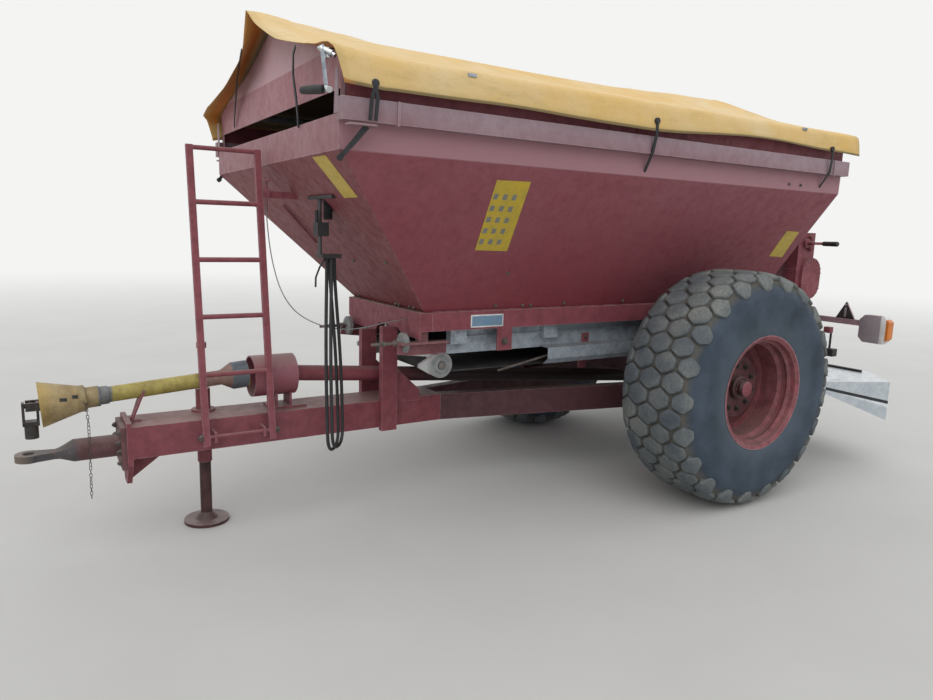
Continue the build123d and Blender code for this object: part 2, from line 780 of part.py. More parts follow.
# Ladder, leaning in over the drawbar, on a pivot rod through the lugs.
ladder_run = ladder_pivot_y - ladder_top_y
ladder_rise = ladder_top_z - ladder_pivot_z


def ladder_y(z):
    return ladder_pivot_y - ladder_run * (z - ladder_pivot_z) / ladder_rise


lean_dir = Vector(0, -ladder_run, ladder_rise)
with BuildPart() as ladder:
    for x in (ladder_rear_x, ladder_front_x):
        start = Vector(axle_x + x, ladder_y(beam_bottom + 40), beam_bottom + 40)
        with BuildSketch(Plane(start, x_dir=(1, 0, 0), z_dir=lean_dir)):
            Rectangle(ladder_tube, ladder_tube * 0.7)
        extrude(amount=lean_dir.length * (ladder_top_z - beam_bottom - 40) / ladder_rise)
    for z in rung_heights:
        rod((ladder_rear_x, ladder_y(z), z), (ladder_front_x, ladder_y(z), z), 13)
    rod(
        (ladder_rear_x - 17, ladder_y(ladder_top_z - 12), ladder_top_z - 12),
        (ladder_front_x + 17, ladder_y(ladder_top_z - 12), ladder_top_z - 12), 12,
    )
    rod(
        (ladder_rear_x - 24, ladder_pivot_y, ladder_pivot_z),
        (ladder_front_x + 24, ladder_pivot_y, ladder_pivot_z), pivot_rod_radius,
    )
finish(ladder.part, "ladder")

# Metering door, sliding in the rear wall's guides.
with BuildPart() as metering_door:
    door_reach = door_half_width + 25
    block(door_x - 6, door_x, -door_reach, door_reach, frame_top + 12, frame_top + door_height + 40)
    block(door_x - 14, door_x - 6, -30, 30, frame_top + door_height, frame_top + door_height + 40)
finish(metering_door.part, "metering_door")

# Rear spreading unit: cross beam, arms, gearboxes, two discs with vanes and the hood.
with BuildPart() as spinner_frame:
    block(rail_rear - 75, rail_rear, -rail_outer, rail_outer, beam_top - 75, beam_top)
    for side, s in sides:
        block(rail_rear - 75, rail_rear, s * spinner_y - 30, s * spinner_y + 30, arm_bottom, beam_top - 75)
        block(spinner_x - 60, rail_rear, s * spinner_y - 30, s * spinner_y + 30, arm_bottom, arm_top)
finish(spinner_frame.part, "spinner_frame")

with BuildPart() as spinner_gearbox:
    block(spinner_x - 30, drive_end_x, -90, 90, gearbox_bottom, gearbox_top)
    for side, s in sides:
        rod((spinner_x, s * spinner_y, arm_top), (spinner_x, s * spinner_y, gearbox_top), 70)
        rod((drive_end_x - 55, s * 89, 515), (spinner_x, s * (spinner_y - 40), 515), 20)
finish(spinner_gearbox.part, "spinner_gearbox")

for side, s in sides:
    with BuildPart() as spinner:
        y = s * spinner_y
        rod((spinner_x, y, gearbox_top + seat_gap), (spinner_x, y, spinner_z), spindle_radius)
        rod((spinner_x, y, spinner_z), (spinner_x, y, spinner_z + spinner_thickness), spinner_radius)
        rod((spinner_x, y, spinner_z), (spinner_x, y, spinner_z + vane_height), 45)
        for i in range(vane_count):
            angle = 360 * i / vane_count + 20 * s
            plane = Plane((axle_x + spinner_x, y, spinner_z + spinner_thickness)).rotated((0, 0, angle))
            with BuildSketch(plane):
                with Locations(((spinner_radius + 60) / 2 - 5, 0)):
                    Rectangle(spinner_radius - 70, 5)
            extrude(amount=vane_height - spinner_thickness)
    finish(spinner.part, f"spinner_{side}")

# Stainless hood over the discs, with swept side skirts.
hood_front = rear_post_x - 40 - seat_gap
hood_plan = ((hood_front, 0), (hood_front, 1020), (-1540, 1250), (-rear_reach, 950), (-rear_reach, 0))
with BuildPart() as spinner_hood:
    outline = list(hood_plan) + [(x, -y) for x, y in reversed(hood_plan[1:-1])]
    flat_plate(outline, Plane((axle_x, 0, hood_z)), hood_skin)
    for side, s in sides:
        for (xa, ya), (xb, yb), fall_a, fall_b, flap_a, flap_b in (
            (hood_plan[1], hood_plan[2], 60, hood_depth, 20, flap_depth),
            (hood_plan[2], hood_plan[3], hood_depth, hood_depth - 40, flap_depth, flap_depth),
        ):
            along = Vector(xb - xa, s * (yb - ya), 0)
            skirt_plane = Plane(
                (axle_x + xa, s * ya, hood_z), x_dir=along, z_dir=Vector(0, 0, s).cross(along),
            )
            up = skirt_plane.y_dir.Z
            flat_plate(
                ((0, 0), (along.length, 0), (along.length, -up * fall_b), (0, -up * fall_a)),
                skirt_plane, hood_skin,
            )
            flap_plane = skirt_plane.offset(-hood_skin)
            inset = 6
            flat_plate(
                (
                    (inset, up * (10 - fall_a)), (along.length - inset, up * (14 - fall_b)),
                    (along.length - inset, -up * (fall_b + flap_b)), (inset, -up * (fall_a + flap_a)),
                ),
                flap_plane, hood_skin,
            )
    block(-rear_reach, -rear_reach + hood_skin, -950, 950, hood_z - hood_depth + 60, hood_z)
finish(spinner_hood.part, "spinner_hood")

# Discharge box between the hopper's rear wall and the belt's end, on the frame.
box_side = door_half_width + 40
box_top = frame_top + 330
box_crest_x = hopper_rear - 230
with BuildPart() as discharge_box:
    for side, s in sides:
        outline = (
            (door_x - 25, frame_top), (frame_rear + 10, frame_top), (frame_rear + 10, frame_top + 120),
            (box_crest_x, box_top), (door_x - 25, box_top),
        )
        flat_plate(outline, side_plane(s * box_side + (6 if s > 0 else 0)), 6)
        block(frame_rear, door_x - 25, s * box_side, s * (frame_half_width - 10), frame_top, frame_top + 6)
    block(box_crest_x, door_x - 25, -box_side, box_side, box_top - 6, box_top)
finish(discharge_box.part, "discharge_box")

# Chain case that drives the rear roller, with its round cover, and the crank housing above.
with BuildPart() as chain_case:
    with BuildSketch(side_plane(case_out)):
        with Locations(((rear_roller_x + case_x) / 2, (roller_z + case_z) / 2)):
            run = case_x - rear_roller_x
            rise = case_z - roller_z
            SlotCenterToCenter(hypot(run, rise), 2 * case_radius, rotation=degrees(atan2(rise, run)))
    extrude(amount=case_out - case_in)
    block(housing_rear, housing_front, case_in, case_out, case_z - 12, case_z + case_radius)
    with BuildSketch(side_plane(case_out + cover_rise)):
        with Locations((cover_x, cover_z)):
            SlotCenterToCenter(82, 230, rotation=90)
    extrude(amount=cover_rise)
    rod((rear_roller_x, frame_half_width + seat_gap, roller_z), (rear_roller_x, case_in, roller_z), 45)
    rod(
        (rear_roller_x, belt_half_width, roller_z), (rear_roller_x, case_out - 10, roller_z),
        20 + seat_gap, mode=Mode.SUBTRACT,
    )
finish(chain_case.part, "chain_case")

with BuildPart() as crank_housing:
    block(
        housing_rear, housing_front, case_in, case_out, case_z + case_radius + seat_gap, housing_top,
    )
    block(housing_rear, housing_front, box_side + 6, case_in, box_top - 60, box_top - 15)
    shaft_x = housing_front - 75
    shaft_z = housing_top - 78
    rod((shaft_x, case_out, shaft_z), (shaft_x, case_out + 26, shaft_z), 34)
    rod((shaft_x, case_out, shaft_z), (shaft_x, case_out + 70, shaft_z), 16)
    block(shaft_x - 105, shaft_x + 10, case_out + 70, case_out + 82, shaft_z - 10, shaft_z + 10)
    rod((shaft_x - 95, case_out + 82, shaft_z), (shaft_x - 95, case_out + 200, shaft_z), 14)
finish(crank_housing.part, "crank_housing")

# Lamp bars on the frame's rear end, with their lamp boards and warning triangles.
lamp_x = -1300
lamp_y = 1115
with BuildPart() as lamp_bars:
    for s, start in ((1, case_out), (-1, frame_half_width)):
        block(lamp_x - 15, lamp_x + 15, s * start, s * (lamp_y + 5), frame_bottom - 32, frame_bottom + 8)
        flat_plate(
            [(s * (lamp_y + dy), frame_bottom - 45 + dz) for dy, dz in (
                (0, -55), (45, -98), (160, -98), (205, -55), (205, 55), (160, 98), (45, 98), (0, 55),
            )],
            cross_plane(lamp_x - 25), 40,
        )
        flat_plate(
            [(s * (lamp_y - y), frame_bottom + 8 + z) for y, z in ((185, 0), (45, 0), (115, 122))],
            cross_plane(lamp_x - 6), 12,
        )
finish(lamp_bars.part, "lamp_bars")

# Hydraulic valve on its hanger, and the stay that holds the ladder's top.
slope = slope_rise / slope_run
valve_y = 390
port_z = 1500
port_x = 2430
valve_z = port_z + 110
hanger_top = 1800
wall_x = lip_x - (crease_z - hanger_top) / slope
with BuildPart() as valve_hanger:
    block(wall_x - 20, wall_x + 20, valve_y - 145, valve_y + 200, hanger_top - 4, hanger_top + 12)
    block(wall_x + 4, wall_x + 12, valve_y - 20, valve_y + 20, port_z, hanger_top)
    block(wall_x - 30, wall_x + 30, valve_y - 32, valve_y + 32, valve_z, valve_z + 70)
    rod((wall_x + 25, valve_y, valve_z + 70), (wall_x + 25, valve_y, valve_z + 130), 9)
    block(port_x - 45, wall_x + 12, valve_y - 45, valve_y + 45, port_z, port_z + 20)
    split(bisect_by=front_slope.offset(seat_gap), keep=Keep.TOP)
finish(valve_hanger.part, "valve_hanger")

stay_z = 1820
with BuildPart() as ladder_stay:
    stay_x = lip_x - (crease_z - stay_z) / slope
    stay_y = ladder_y(stay_z)
    stay_end = ladder_rear_x - ladder_tube / 2 - 5
    block(stay_x - 12, stay_end, stay_y - 5, stay_y + 5, stay_z - 20, stay_z + 20)
    split(bisect_by=front_slope.offset(seat_gap), keep=Keep.TOP)
finish(ladder_stay.part, "ladder_stay")

# Two hydraulic hoses hang in long loops from the valve's ports: along the loop's plane, then height.
hose_diameter = 18
loop_dir = Vector(0.652, 0.757, 0).normalized()
loop_side = Vector(0, 0, 1).cross(loop_dir)
hose_route = (
    (-24, 1499.7), (-24, 1430), (-62, 1240), (-104, 1050), (-134, 850), (-152, 650), (-165, 448),
    (5, 448), (20, 640), (30, 850), (32, 1060), (27, 1240), (17, 1400), (17, 1499.7),
)


def cord_radii(points, share=0.45):
    """One radius for each corner: a share of the shorter run over the tangent of half the turn."""
    radii = []
    for a, b, c in zip(points, points[1:], points[2:]):
        before = b - a
        after = c - b
        turn = radians(before.get_angle(after))
        radii.append(share * min(before.length, after.length) / tan(turn / 2))
    return radii


def cord_tube(points, diameter, name):
    """A tube of straight runs and tangent arcs along the points."""
    radii = cord_radii(points)
    print(name, "radii", [round(r) for r in radii])
    with BuildPart() as cord:
        with BuildLine():
            path = FilletPolyline(*points, radius=radii)
        with BuildSketch(Plane(points[0], z_dir=path % 0)):
            Circle(diameter / 2)
        sweep()
    plain_volume = pi * diameter**2 / 4 * path.length
    print(name, "length", round(path.length), "volume ratio", round(cord.part.volume / plain_volume, 4))
    return cord.part


for i, (shift, lift) in enumerate(((-13, 0), (13, 16))):
    points = []
    for j, (u, z) in enumerate(hose_route):
        height = z + (lift if 3 < j < 10 else 0)
        points.append(Vector(axle_x + port_x, valve_y, height) + loop_dir * u + loop_side * shift)
    finish(cord_tube(points, hose_diameter, f"hose_{i + 1}"), f"hose_{i + 1}")

# A thin grey cable hangs from the ladder's stay down to the frame's front.
cable_route = (
    (2655, 34, 1799.7), (2655, 38, 1720), (2652, 46, 1640), (2648, 58, 1562), (2641, 73, 1484),
    (2630, 91, 1408), (2614, 112, 1333), (2588, 139, 1262), (2548, 172, 1200), (2490, 209, 1155),
    (2420, 247, 1124), (2344, 283, 1108), (2266, 313, 1108), (2188, 331, 1120), (2110, 339, 1136),
    (2034, 341, 1148), (1955.3, 341, 1155),
)
cable_points = [Vector(axle_x + x, y, z) for x, y, z in cable_route]
finish(cord_tube(cable_points, 6, "sensor_cable"), "sensor_cable")

# The guard's chain hangs from the cone, clear of the hitch.
chain_route = (
    (hook_x, chain_y, hook_z - 6.3), (3562, chain_y, 700), (3561, chain_y + 1, 620), (3563, chain_y + 1, 540),
    (3563, chain_y + 2, 460), (3565, chain_y + 2, 380), (3566, chain_y + 1, 292),
)
chain_points = [Vector(axle_x + x, y, z) for x, y, z in chain_route]
finish(cord_tube(chain_points, 10, "guard_chain"), "guard_chain")
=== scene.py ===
import bpy
import bmesh
import math
from mathutils import Matrix, Vector, noise


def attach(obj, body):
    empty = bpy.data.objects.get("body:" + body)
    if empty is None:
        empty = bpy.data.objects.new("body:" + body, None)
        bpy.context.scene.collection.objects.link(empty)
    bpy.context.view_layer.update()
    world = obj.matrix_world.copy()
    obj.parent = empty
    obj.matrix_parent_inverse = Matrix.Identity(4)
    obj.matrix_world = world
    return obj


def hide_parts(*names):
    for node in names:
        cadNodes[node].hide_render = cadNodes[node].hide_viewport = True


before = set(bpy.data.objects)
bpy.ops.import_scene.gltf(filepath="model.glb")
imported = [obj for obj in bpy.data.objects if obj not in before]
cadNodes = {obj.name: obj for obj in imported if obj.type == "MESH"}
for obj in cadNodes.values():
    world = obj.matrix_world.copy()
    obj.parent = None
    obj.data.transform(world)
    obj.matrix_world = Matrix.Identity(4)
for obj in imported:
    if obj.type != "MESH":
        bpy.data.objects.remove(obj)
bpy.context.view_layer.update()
axleX = -1.035          # the axle; lengths along X below are ahead of it, in metres
axleZ = 0.735           # its height, which is the tyre's radius too
sideNames = {1: "left", -1: "right"}
scene = bpy.context.scene


def at(x, y, z):
    return Vector((x + axleX, y, z))


def linear(hexColour):
    parts = [int(hexColour[i:i + 2], 16) / 255 for i in (1, 3, 5)]
    return [c / 12.92 if c <= 0.04045 else ((c + 0.055) / 1.055) ** 2.4 for c in parts] + [1.0]


def fillInputs(tree, made, inputs):
    for name, value in inputs.items():
        socket = made.inputs[name]
        if isinstance(value, bpy.types.NodeSocket):
            tree.links.new(value, socket)
        elif isinstance(value, str) and value.startswith("#"):
            socket.default_value = linear(value)
        else:
            socket.default_value = value


def addNode(tree, kind, inputs=None, **settings):
    made = tree.nodes.new(kind)
    for name, value in settings.items():
        setattr(made, name, value)
    fillInputs(tree, made, inputs or {})
    return made


def newMaterial(name):
    made = bpy.data.materials.new(name)
    made.use_nodes = True
    tree = made.node_tree
    tree.nodes.clear()
    shader = addNode(tree, "ShaderNodeBsdfPrincipled")
    addNode(tree, "ShaderNodeOutputMaterial", {"Surface": shader.outputs[0]})
    return made, tree, shader, addNode(tree, "ShaderNodeTexCoord").outputs["Object"]


def blendColours(tree, share, first, second, kind="MIX"):
    return addNode(tree, "ShaderNodeMix", {0: share, 6: first, 7: second}, data_type="RGBA",
                   blend_type=kind).outputs[2]


def clouds(tree, place, scale, detail):
    made = addNode(tree, "ShaderNodeTexNoise", {"Vector": place, "Scale": scale, "Detail": detail})
    return made.outputs[0]


def mapped(tree, value, low, high):
    # 0 at low and 1 at high
    return addNode(tree, "ShaderNodeMapRange", {0: value, 1: low, 2: high}).outputs[0]


def spread(tree, value, low, more):
    # the other way round: low at 0, and more added at 1
    return addNode(tree, "ShaderNodeMapRange", {0: value, 3: low, 4: low + more}).outputs[0]


def patches(tree, place, scale, low, high, detail=5.0, rough=0.6):
    # a noise cut into a soft-edged mask between two heights
    cloud = addNode(tree, "ShaderNodeTexNoise",
                    {"Vector": place, "Scale": scale, "Detail": detail, "Roughness": rough})
    return mapped(tree, cloud.outputs[0], low, high)


def maths(tree, kind, *values):
    return addNode(tree, "ShaderNodeMath", dict(enumerate(values)), operation=kind).outputs[0]


def vectors(tree, kind, *values):
    return addNode(tree, "ShaderNodeVectorMath", dict(enumerate(values)), operation=kind).outputs


def tint(tree, base, mask, share, colour):
    # a colour laid over the base where the mask is, at most by the share given
    return blendColours(tree, maths(tree, "MULTIPLY", mask, share), base, colour)


def zoned(tree, place, zones, base):
    # colours that begin at a place along one axis: (axis, from, to, colour)
    parts = addNode(tree, "ShaderNodeSeparateXYZ", {0: place}).outputs
    for axis, begin, full, colour in zones:
        base = blendColours(tree, mapped(tree, parts[axis], begin, full), base, colour)
    return base


def normalOf(tree):
    return addNode(tree, "ShaderNodeNewGeometry").outputs["Normal"]


def upright(tree, vector):
    return addNode(tree, "ShaderNodeSeparateXYZ", {0: vector}).outputs["Z"]


def fromAxle(tree, place):
    spoke = vectors(tree, "SUBTRACT", place, (axleX, 0.0, axleZ))[0]
    return vectors(tree, "LENGTH", vectors(tree, "MULTIPLY", spoke, (1.0, 0.0, 1.0))[0])["Value"]


def bumps(tree, *layers):
    # bumps laid one over another: (height, strength, distance)
    below = {}
    for height, strength, distance in layers:
        made = addNode(tree, "ShaderNodeBump",
                       {"Height": height, "Strength": strength, "Distance": distance, **below})
        below = {"Normal": made.outputs[0]}
    return made.outputs[0]


def giveMaterial(piece, material):
    piece.data.materials.clear()
    piece.data.materials.append(material)


def linked(name, data):
    made = bpy.data.objects.new(name, data)
    scene.collection.objects.link(made)
    return made


# Finishes
# Weathered paint on welded sheet steel: sprayed oil paint gone chalky, so it is matt, patchy and
# paler where rain has washed it, with dust on whatever looks up and bare rust at the chips.
def weatheredPaint(name, look):
    made, tree, shader, place = newMaterial(name)
    height = fromAxle(tree, place) if look["wheel"] else upright(tree, place)
    base = blendColours(tree, mapped(tree, height, look["lowZ"], look["highZ"]), look["low"], look["high"])
    broad = patches(tree, place, 1000 / look["patchSize"], 0.38, 0.68)
    base = tint(tree, base, broad, look["bleachShare"], look["bleach"])
    drawn = addNode(tree, "ShaderNodeMapping", {0: place, 3: (22.0, 22.0, 1.3)}).outputs[0]
    runs = patches(tree, drawn, 1.0, 0.50, 0.72, 4.0)                      # rain runs, 45 mm
    base = tint(tree, base, runs, look["runShare"], look["runs"])
    mottle = patches(tree, place, 1000 / 60, 0.42, 0.66, 8.0, 0.72)        # hand-sized blotches
    base = tint(tree, base, mottle, look["grimeShare"], look["grime"])
    fine = patches(tree, place, 1000 / 9, 0.60, 0.68, 3.0)                 # scuffs, 9 mm
    base = tint(tree, base, fine, 0.18, look["bleach"])
    base = zoned(tree, place, look["zones"], base)
    chips = patches(tree, place, 1000 / 26, look["chipStart"], look["chipStart"] + 0.02, 6.0, 0.7)
    base = blendColours(tree, chips, base, look["rust"])
    edge = addNode(tree, "ShaderNodeBevel", {"Radius": 0.006}, samples=6).outputs[0]
    turn = vectors(tree, "DOT_PRODUCT", edge, normalOf(tree))["Value"]
    worn = patches(tree, place, 1000 / 35, 0.34, 0.55)
    worn = maths(tree, "MULTIPLY", mapped(tree, turn, 0.985, 0.86), worn)
    base = tint(tree, base, worn, 0.75, look["edge"])
    dusty = mapped(tree, upright(tree, normalOf(tree)), 0.45, 0.98)
    base = tint(tree, base, dusty, look["dustShare"], look["dust"])
    dents = (clouds(tree, place, 1000 / 240, 2.0), 0.55, look["dent"])
    grain = (clouds(tree, place, 1000 / 4, 3.0), 0.35, 0.0006)
    fillInputs(tree, shader, {"Base Color": base, "Roughness": spread(tree, mottle, look["rough"], 0.2),
                              "Normal": bumps(tree, dents, grain), "IOR": 1.5, "Specular IOR Level": 0.35})
    return made


paintBase = {"lowZ": 1.0, "highZ": 2.1, "patchSize": 900, "bleachShare": 0.38, "runShare": 0.22, "zones": (),
             "grimeShare": 0.30, "chipStart": 0.76, "rust": "#3a2620", "edge": "#a08287", "wheel": False,
             "dust": "#8b7c77", "dustShare": 0.5, "rough": 0.52, "dent": 0.02}
hopperPaint = weatheredPaint("ChalkyRedPaintOnSheet", {**paintBase, "highZ": 2.0,
    "low": "#7d2d37", "high": "#8d4f58", "bleach": "#94636a", "runs": "#733039", "grime": "#672e36",
    "zones": (("Z", 1.972, 1.980, "#9a7178"),)})
# painted shade: the front wall's red is darker than the sides', as that wall faces down and forward
frontPaintInShade = weatheredPaint("ShadedRedPaintOnSheet", {**paintBase,
    "low": "#702c33", "high": "#7f4348", "bleach": "#885458", "runs": "#632d32", "grime": "#58292d"})
bandPaint = weatheredPaint("SunBleachedPinkPaint", {**paintBase, "lowZ": 1.98, "highZ": 2.14,
    "patchSize": 500,
    "low": "#8a5c61", "high": "#946c71", "bleach": "#a07f83", "runs": "#815358", "grime": "#77494e",
    "runShare": 0.3, "dust": "#a59590", "edge": "#b79fa2", "dent": 0.008})
railPaint = weatheredPaint("FadedPinkRail", {**paintBase, "lowZ": 2.09, "highZ": 2.18, "patchSize": 420,
    "low": "#8a6c72", "high": "#96828a", "bleach": "#a4949a", "runs": "#80646a", "grime": "#765258",
    "dust": "#a59590", "edge": "#b7a3a6", "dent": 0.006})
gablePaint = weatheredPaint("FadedPinkGable", {**paintBase, "lowZ": 2.2, "highZ": 2.41, "patchSize": 600,
    "low": "#96656b", "high": "#a27278", "bleach": "#ab8a8f", "runs": "#87555b", "grime": "#804c52",
    "zones": (("Z", 2.398, 2.404, "#b6959a"),), "dust": "#a59590", "dent": 0.01})
framePaint = weatheredPaint("RedPaintOnHeavySection", {**paintBase, "lowZ": 0.4, "highZ": 1.25,
    "low": "#74343d", "high": "#85454e", "bleach": "#8d5b61", "runs": "#5c2a2f", "grime": "#4a2728",
    "grimeShare": 0.4, "chipStart": 0.72, "dust": "#8a7670", "dustShare": 0.65, "dent": 0.004})
# painted shade: the drive tube goes dark under the hopper, from 1.95 m ahead of the axle to full at 1.60 m
shaftPaintShaded = weatheredPaint("RedTubePaintedShadeUnderHopper", {**paintBase, "lowZ": 0.4, "highZ": 1.25,
    "low": "#74343d", "high": "#85454e", "bleach": "#8d5b61", "runs": "#5c2a2f", "grime": "#4a2728",
    "zones": (("X", 1.95 + axleX, 1.60 + axleX, "#2c1f21"),), "grimeShare": 0.4, "dust": "#8a7670",
    "dent": 0.004})
# the frame's red made much darker, for the chassis rails, rear posts, axle beam and spinner frame
darkPaint = weatheredPaint("DarkenedRedPaint", {**paintBase, "lowZ": 0.4, "highZ": 1.25,
    "low": "#4a2c31", "high": "#563239", "bleach": "#6c4a4e", "runs": "#3c2225", "grime": "#332020",
    "grimeShare": 0.45, "chipStart": 0.72, "dust": "#7a6a66", "dustShare": 0.6, "dent": 0.004})
castPaint = weatheredPaint("PaintedArmsGreyBearings", {**paintBase, "lowZ": 0.9, "highZ": 1.1,
    "patchSize": 200,
    "low": "#6f3a41", "high": "#855559", "bleach": "#93686c", "runs": "#5a2e33", "grime": "#4c2b2c",
    "zones": (("Z", 0.962, 0.955, "#a5a6a6"),), "dust": "#94857f", "dent": 0.003})
# the rim's red runs darker from the flange in towards the hub
rimPaint = weatheredPaint("RedRimDarkerToHub", {**paintBase, "lowZ": 0.17, "highZ": 0.355,
    "patchSize": 160, "wheel": True, "low": "#4c2829", "high": "#8a4a50", "bleach": "#936468",
    "runs": "#3e2526", "grime": "#38272a", "runShare": 0.3, "grimeShare": 0.6, "chipStart": 0.68,
    "dust": "#76635e", "dent": 0.003})
greasyPaint = weatheredPaint("OilSoakedRedPaint", {**paintBase, "lowZ": 0.4, "highZ": 1.0, "patchSize": 160,
    "low": "#3f2625", "high": "#4d2d2d", "bleach": "#6a4645", "runs": "#2c1d1c", "grime": "#241a18",
    "runShare": 0.5, "grimeShare": 0.8, "chipStart": 0.64, "rough": 0.42, "dent": 0.003})
brightPaint = weatheredPaint("FreshRedPaintOnCasting", {**paintBase, "lowZ": 0.7, "highZ": 1.0,
    "patchSize": 120,
    "low": "#7a343e", "high": "#92606a", "bleach": "#9f7880", "runs": "#66303a", "grime": "#573032",
    "dust": "#9d8a84", "dustShare": 0.7, "dent": 0.003})


# Bare and coated metals: each is a base colour with stains and its own roughness.
def stainedMetal(name, look):
    made, tree, shader, place = newMaterial(name)
    cloud = patches(tree, place, 1000 / look["stainSize"], 0.40, 0.66, 8.0, 0.7)
    base = blendColours(tree, cloud, look["clean"], look["stain"])
    base = zoned(tree, place, look["zones"], base)
    spots = patches(tree, place, 1000 / look["spotSize"], look["spotStart"], look["spotStart"] + 0.05, 5.0)
    base = tint(tree, base, spots, look["spotShare"], look["spot"])
    dusty = mapped(tree, upright(tree, normalOf(tree)), 0.5, 1.0)
    base = tint(tree, base, dusty, look["dustShare"], look["dust"])
    drawn = addNode(tree, "ShaderNodeMapping", {0: place, 3: look["stretch"]}).outputs[0]
    marks = (clouds(tree, drawn, 1.0, 6.0), look["bump"], look["bumpDepth"])
    fillInputs(tree, shader, {"Base Color": base, "Metallic": look["metallic"], "Normal": bumps(tree, marks),
                              "Roughness": spread(tree, cloud, look["rough"], look["roughSpread"])})
    return made


metalBase = {"zones": (), "stretch": (300.0, 300.0, 300.0), "stainSize": 70, "spotSize": 14,
             "spotStart": 0.62, "spotShare": 0.7, "dust": "#8b827b", "dustShare": 0.4, "metallic": 0.0,
             "rough": 0.6, "roughSpread": 0.25, "bump": 0.35, "bumpDepth": 0.0006}
rustySteel = stainedMetal("RustedForgedSteel", {**metalBase, "clean": "#5a5350", "stain": "#3c302b",
    "spot": "#6b4a38", "rough": 0.72, "bump": 0.7, "bumpDepth": 0.0012})
greasySteel = stainedMetal("GreasyDarkSteel", {**metalBase, "clean": "#35302c", "stain": "#1e1a18",
    "spot": "#5a4636", "rough": 0.38, "roughSpread": 0.35, "bump": 0.7, "bumpDepth": 0.0012})
chainSteel = stainedMetal("RustyChainSteel", {**metalBase, "clean": "#4b4440", "stain": "#2d2724",
    "spot": "#5f4536", "stainSize": 15, "spotSize": 5})
galvanised = stainedMetal("DippedZincOnSheet", {**metalBase, "clean": "#a3abb3", "stain": "#7b848d",
    "spot": "#4f545a", "metallic": 0.35, "rough": 0.45, "stretch": (8.0, 60.0, 60.0), "bumpDepth": 0.001})
stainless = stainedMetal("BrushedStainless", {**metalBase, "clean": "#cfd6dc", "stain": "#b3bcc4",
    "spot": "#8c8a86", "metallic": 0.8, "rough": 0.3, "roughSpread": 0.15, "spotShare": 0.3,
    "stretch": (6.0, 500.0, 500.0), "bump": 0.15, "bumpDepth": 0.0003, "dustShare": 0.25})
whiteSheet = stainedMetal("BrightStainlessStrip", {**metalBase, "clean": "#dfe2e6", "stain": "#c2c6cb",
    "spot": "#9a9a98", "metallic": 0.2, "rough": 0.35, "dustShare": 0.1})
wornSteel = stainedMetal("WornBrightSteel", {**metalBase, "clean": "#a6a29c", "stain": "#7a726a",
    "spot": "#5c4a3e", "metallic": 0.6, "rough": 0.36})
eyeSteel = stainedMetal("PaintedShankWornEye", {**metalBase, "clean": "#644043", "stain": "#4d3634",
    "spot": "#7c5b50", "metallic": 0.1, "rough": 0.62, "roughSpread": 0.2, "spotShare": 0.6, "stainSize": 90,
    "zones": (("X", 3.60 + axleX, 3.63 + axleX, "#474345"), ("X", 3.80 + axleX, 3.86 + axleX, "#665a50"))})
castGrey = stainedMetal("GreyEnamelOnCasting", {**metalBase, "clean": "#8a8d8c", "stain": "#6c6f6e",
    "spot": "#4a4240", "rough": 0.62, "bump": 0.6, "bumpDepth": 0.0012})
boltSteel = stainedMetal("ZincPlatedBolt", {**metalBase, "clean": "#7d7571", "stain": "#58504c",
    "spot": "#4a2f26", "stainSize": 22, "metallic": 0.5, "rough": 0.45})
blackEnamel = stainedMetal("BlackEnamelFitting", {**metalBase, "clean": "#1c1c1e", "stain": "#2a2829",
    "spot": "#47403c", "rough": 0.42, "dustShare": 0.3})
chrome = stainedMetal("PolishedChromePlate", {**metalBase, "clean": "#d5d8da", "stain": "#b9bcbe",
    "spot": "#8f8680", "metallic": 1.0, "rough": 0.14, "roughSpread": 0.12, "bump": 0.05})


# Rubber and moulded plastic: dark, matt, greyed by dust in every hollow.
def dustyPlastic(name, look):
    made, tree, shader, place = newMaterial(name)
    cloud = patches(tree, place, 1000 / look["patchSize"], 0.36, 0.66, 7.0, 0.68)
    base = blendColours(tree, cloud, look["clean"], look["dusty"])
    if look["zones"]:
        grime = blendColours(tree, cloud, "#ffffff", "#b4aca2")
        base = blendColours(tree, 1.0, zoned(tree, place, look["zones"], look["clean"]), grime, "MULTIPLY")
    fine = patches(tree, place, 1000 / look["speckSize"], 0.55, 0.70, 3.0)
    grain = (clouds(tree, place, 1000 / look["grainSize"], 4.0), 0.4, 0.0008)
    fillInputs(tree, shader, {"Base Color": tint(tree, base, fine, look["speckShare"], look["speck"]),
                              "Roughness": spread(tree, cloud, look["rough"], 0.18),
                              "Normal": bumps(tree, grain), "IOR": look["ior"]})
    return made


plasticBase = {"zones": (), "patchSize": 90, "speckSize": 8, "speckShare": 0.4, "rough": 0.55,
               "grainSize": 5, "ior": 1.5}
hoseRubber = dustyPlastic("BraidedHoseRubber", {**plasticBase, "clean": "#17181a", "dusty": "#2b2c2e",
    "speck": "#4a4846", "rough": 0.5})
strapRubber = dustyPlastic("StretchStrapRubber", {**plasticBase, "clean": "#161719", "dusty": "#2c2e32",
    "speck": "#55555a", "rough": 0.55})
beltRubber = dustyPlastic("ConveyorBeltRubber", {**plasticBase, "clean": "#1f2022", "dusty": "#3a3a3a",
    "speck": "#5f5a55", "rough": 0.7})
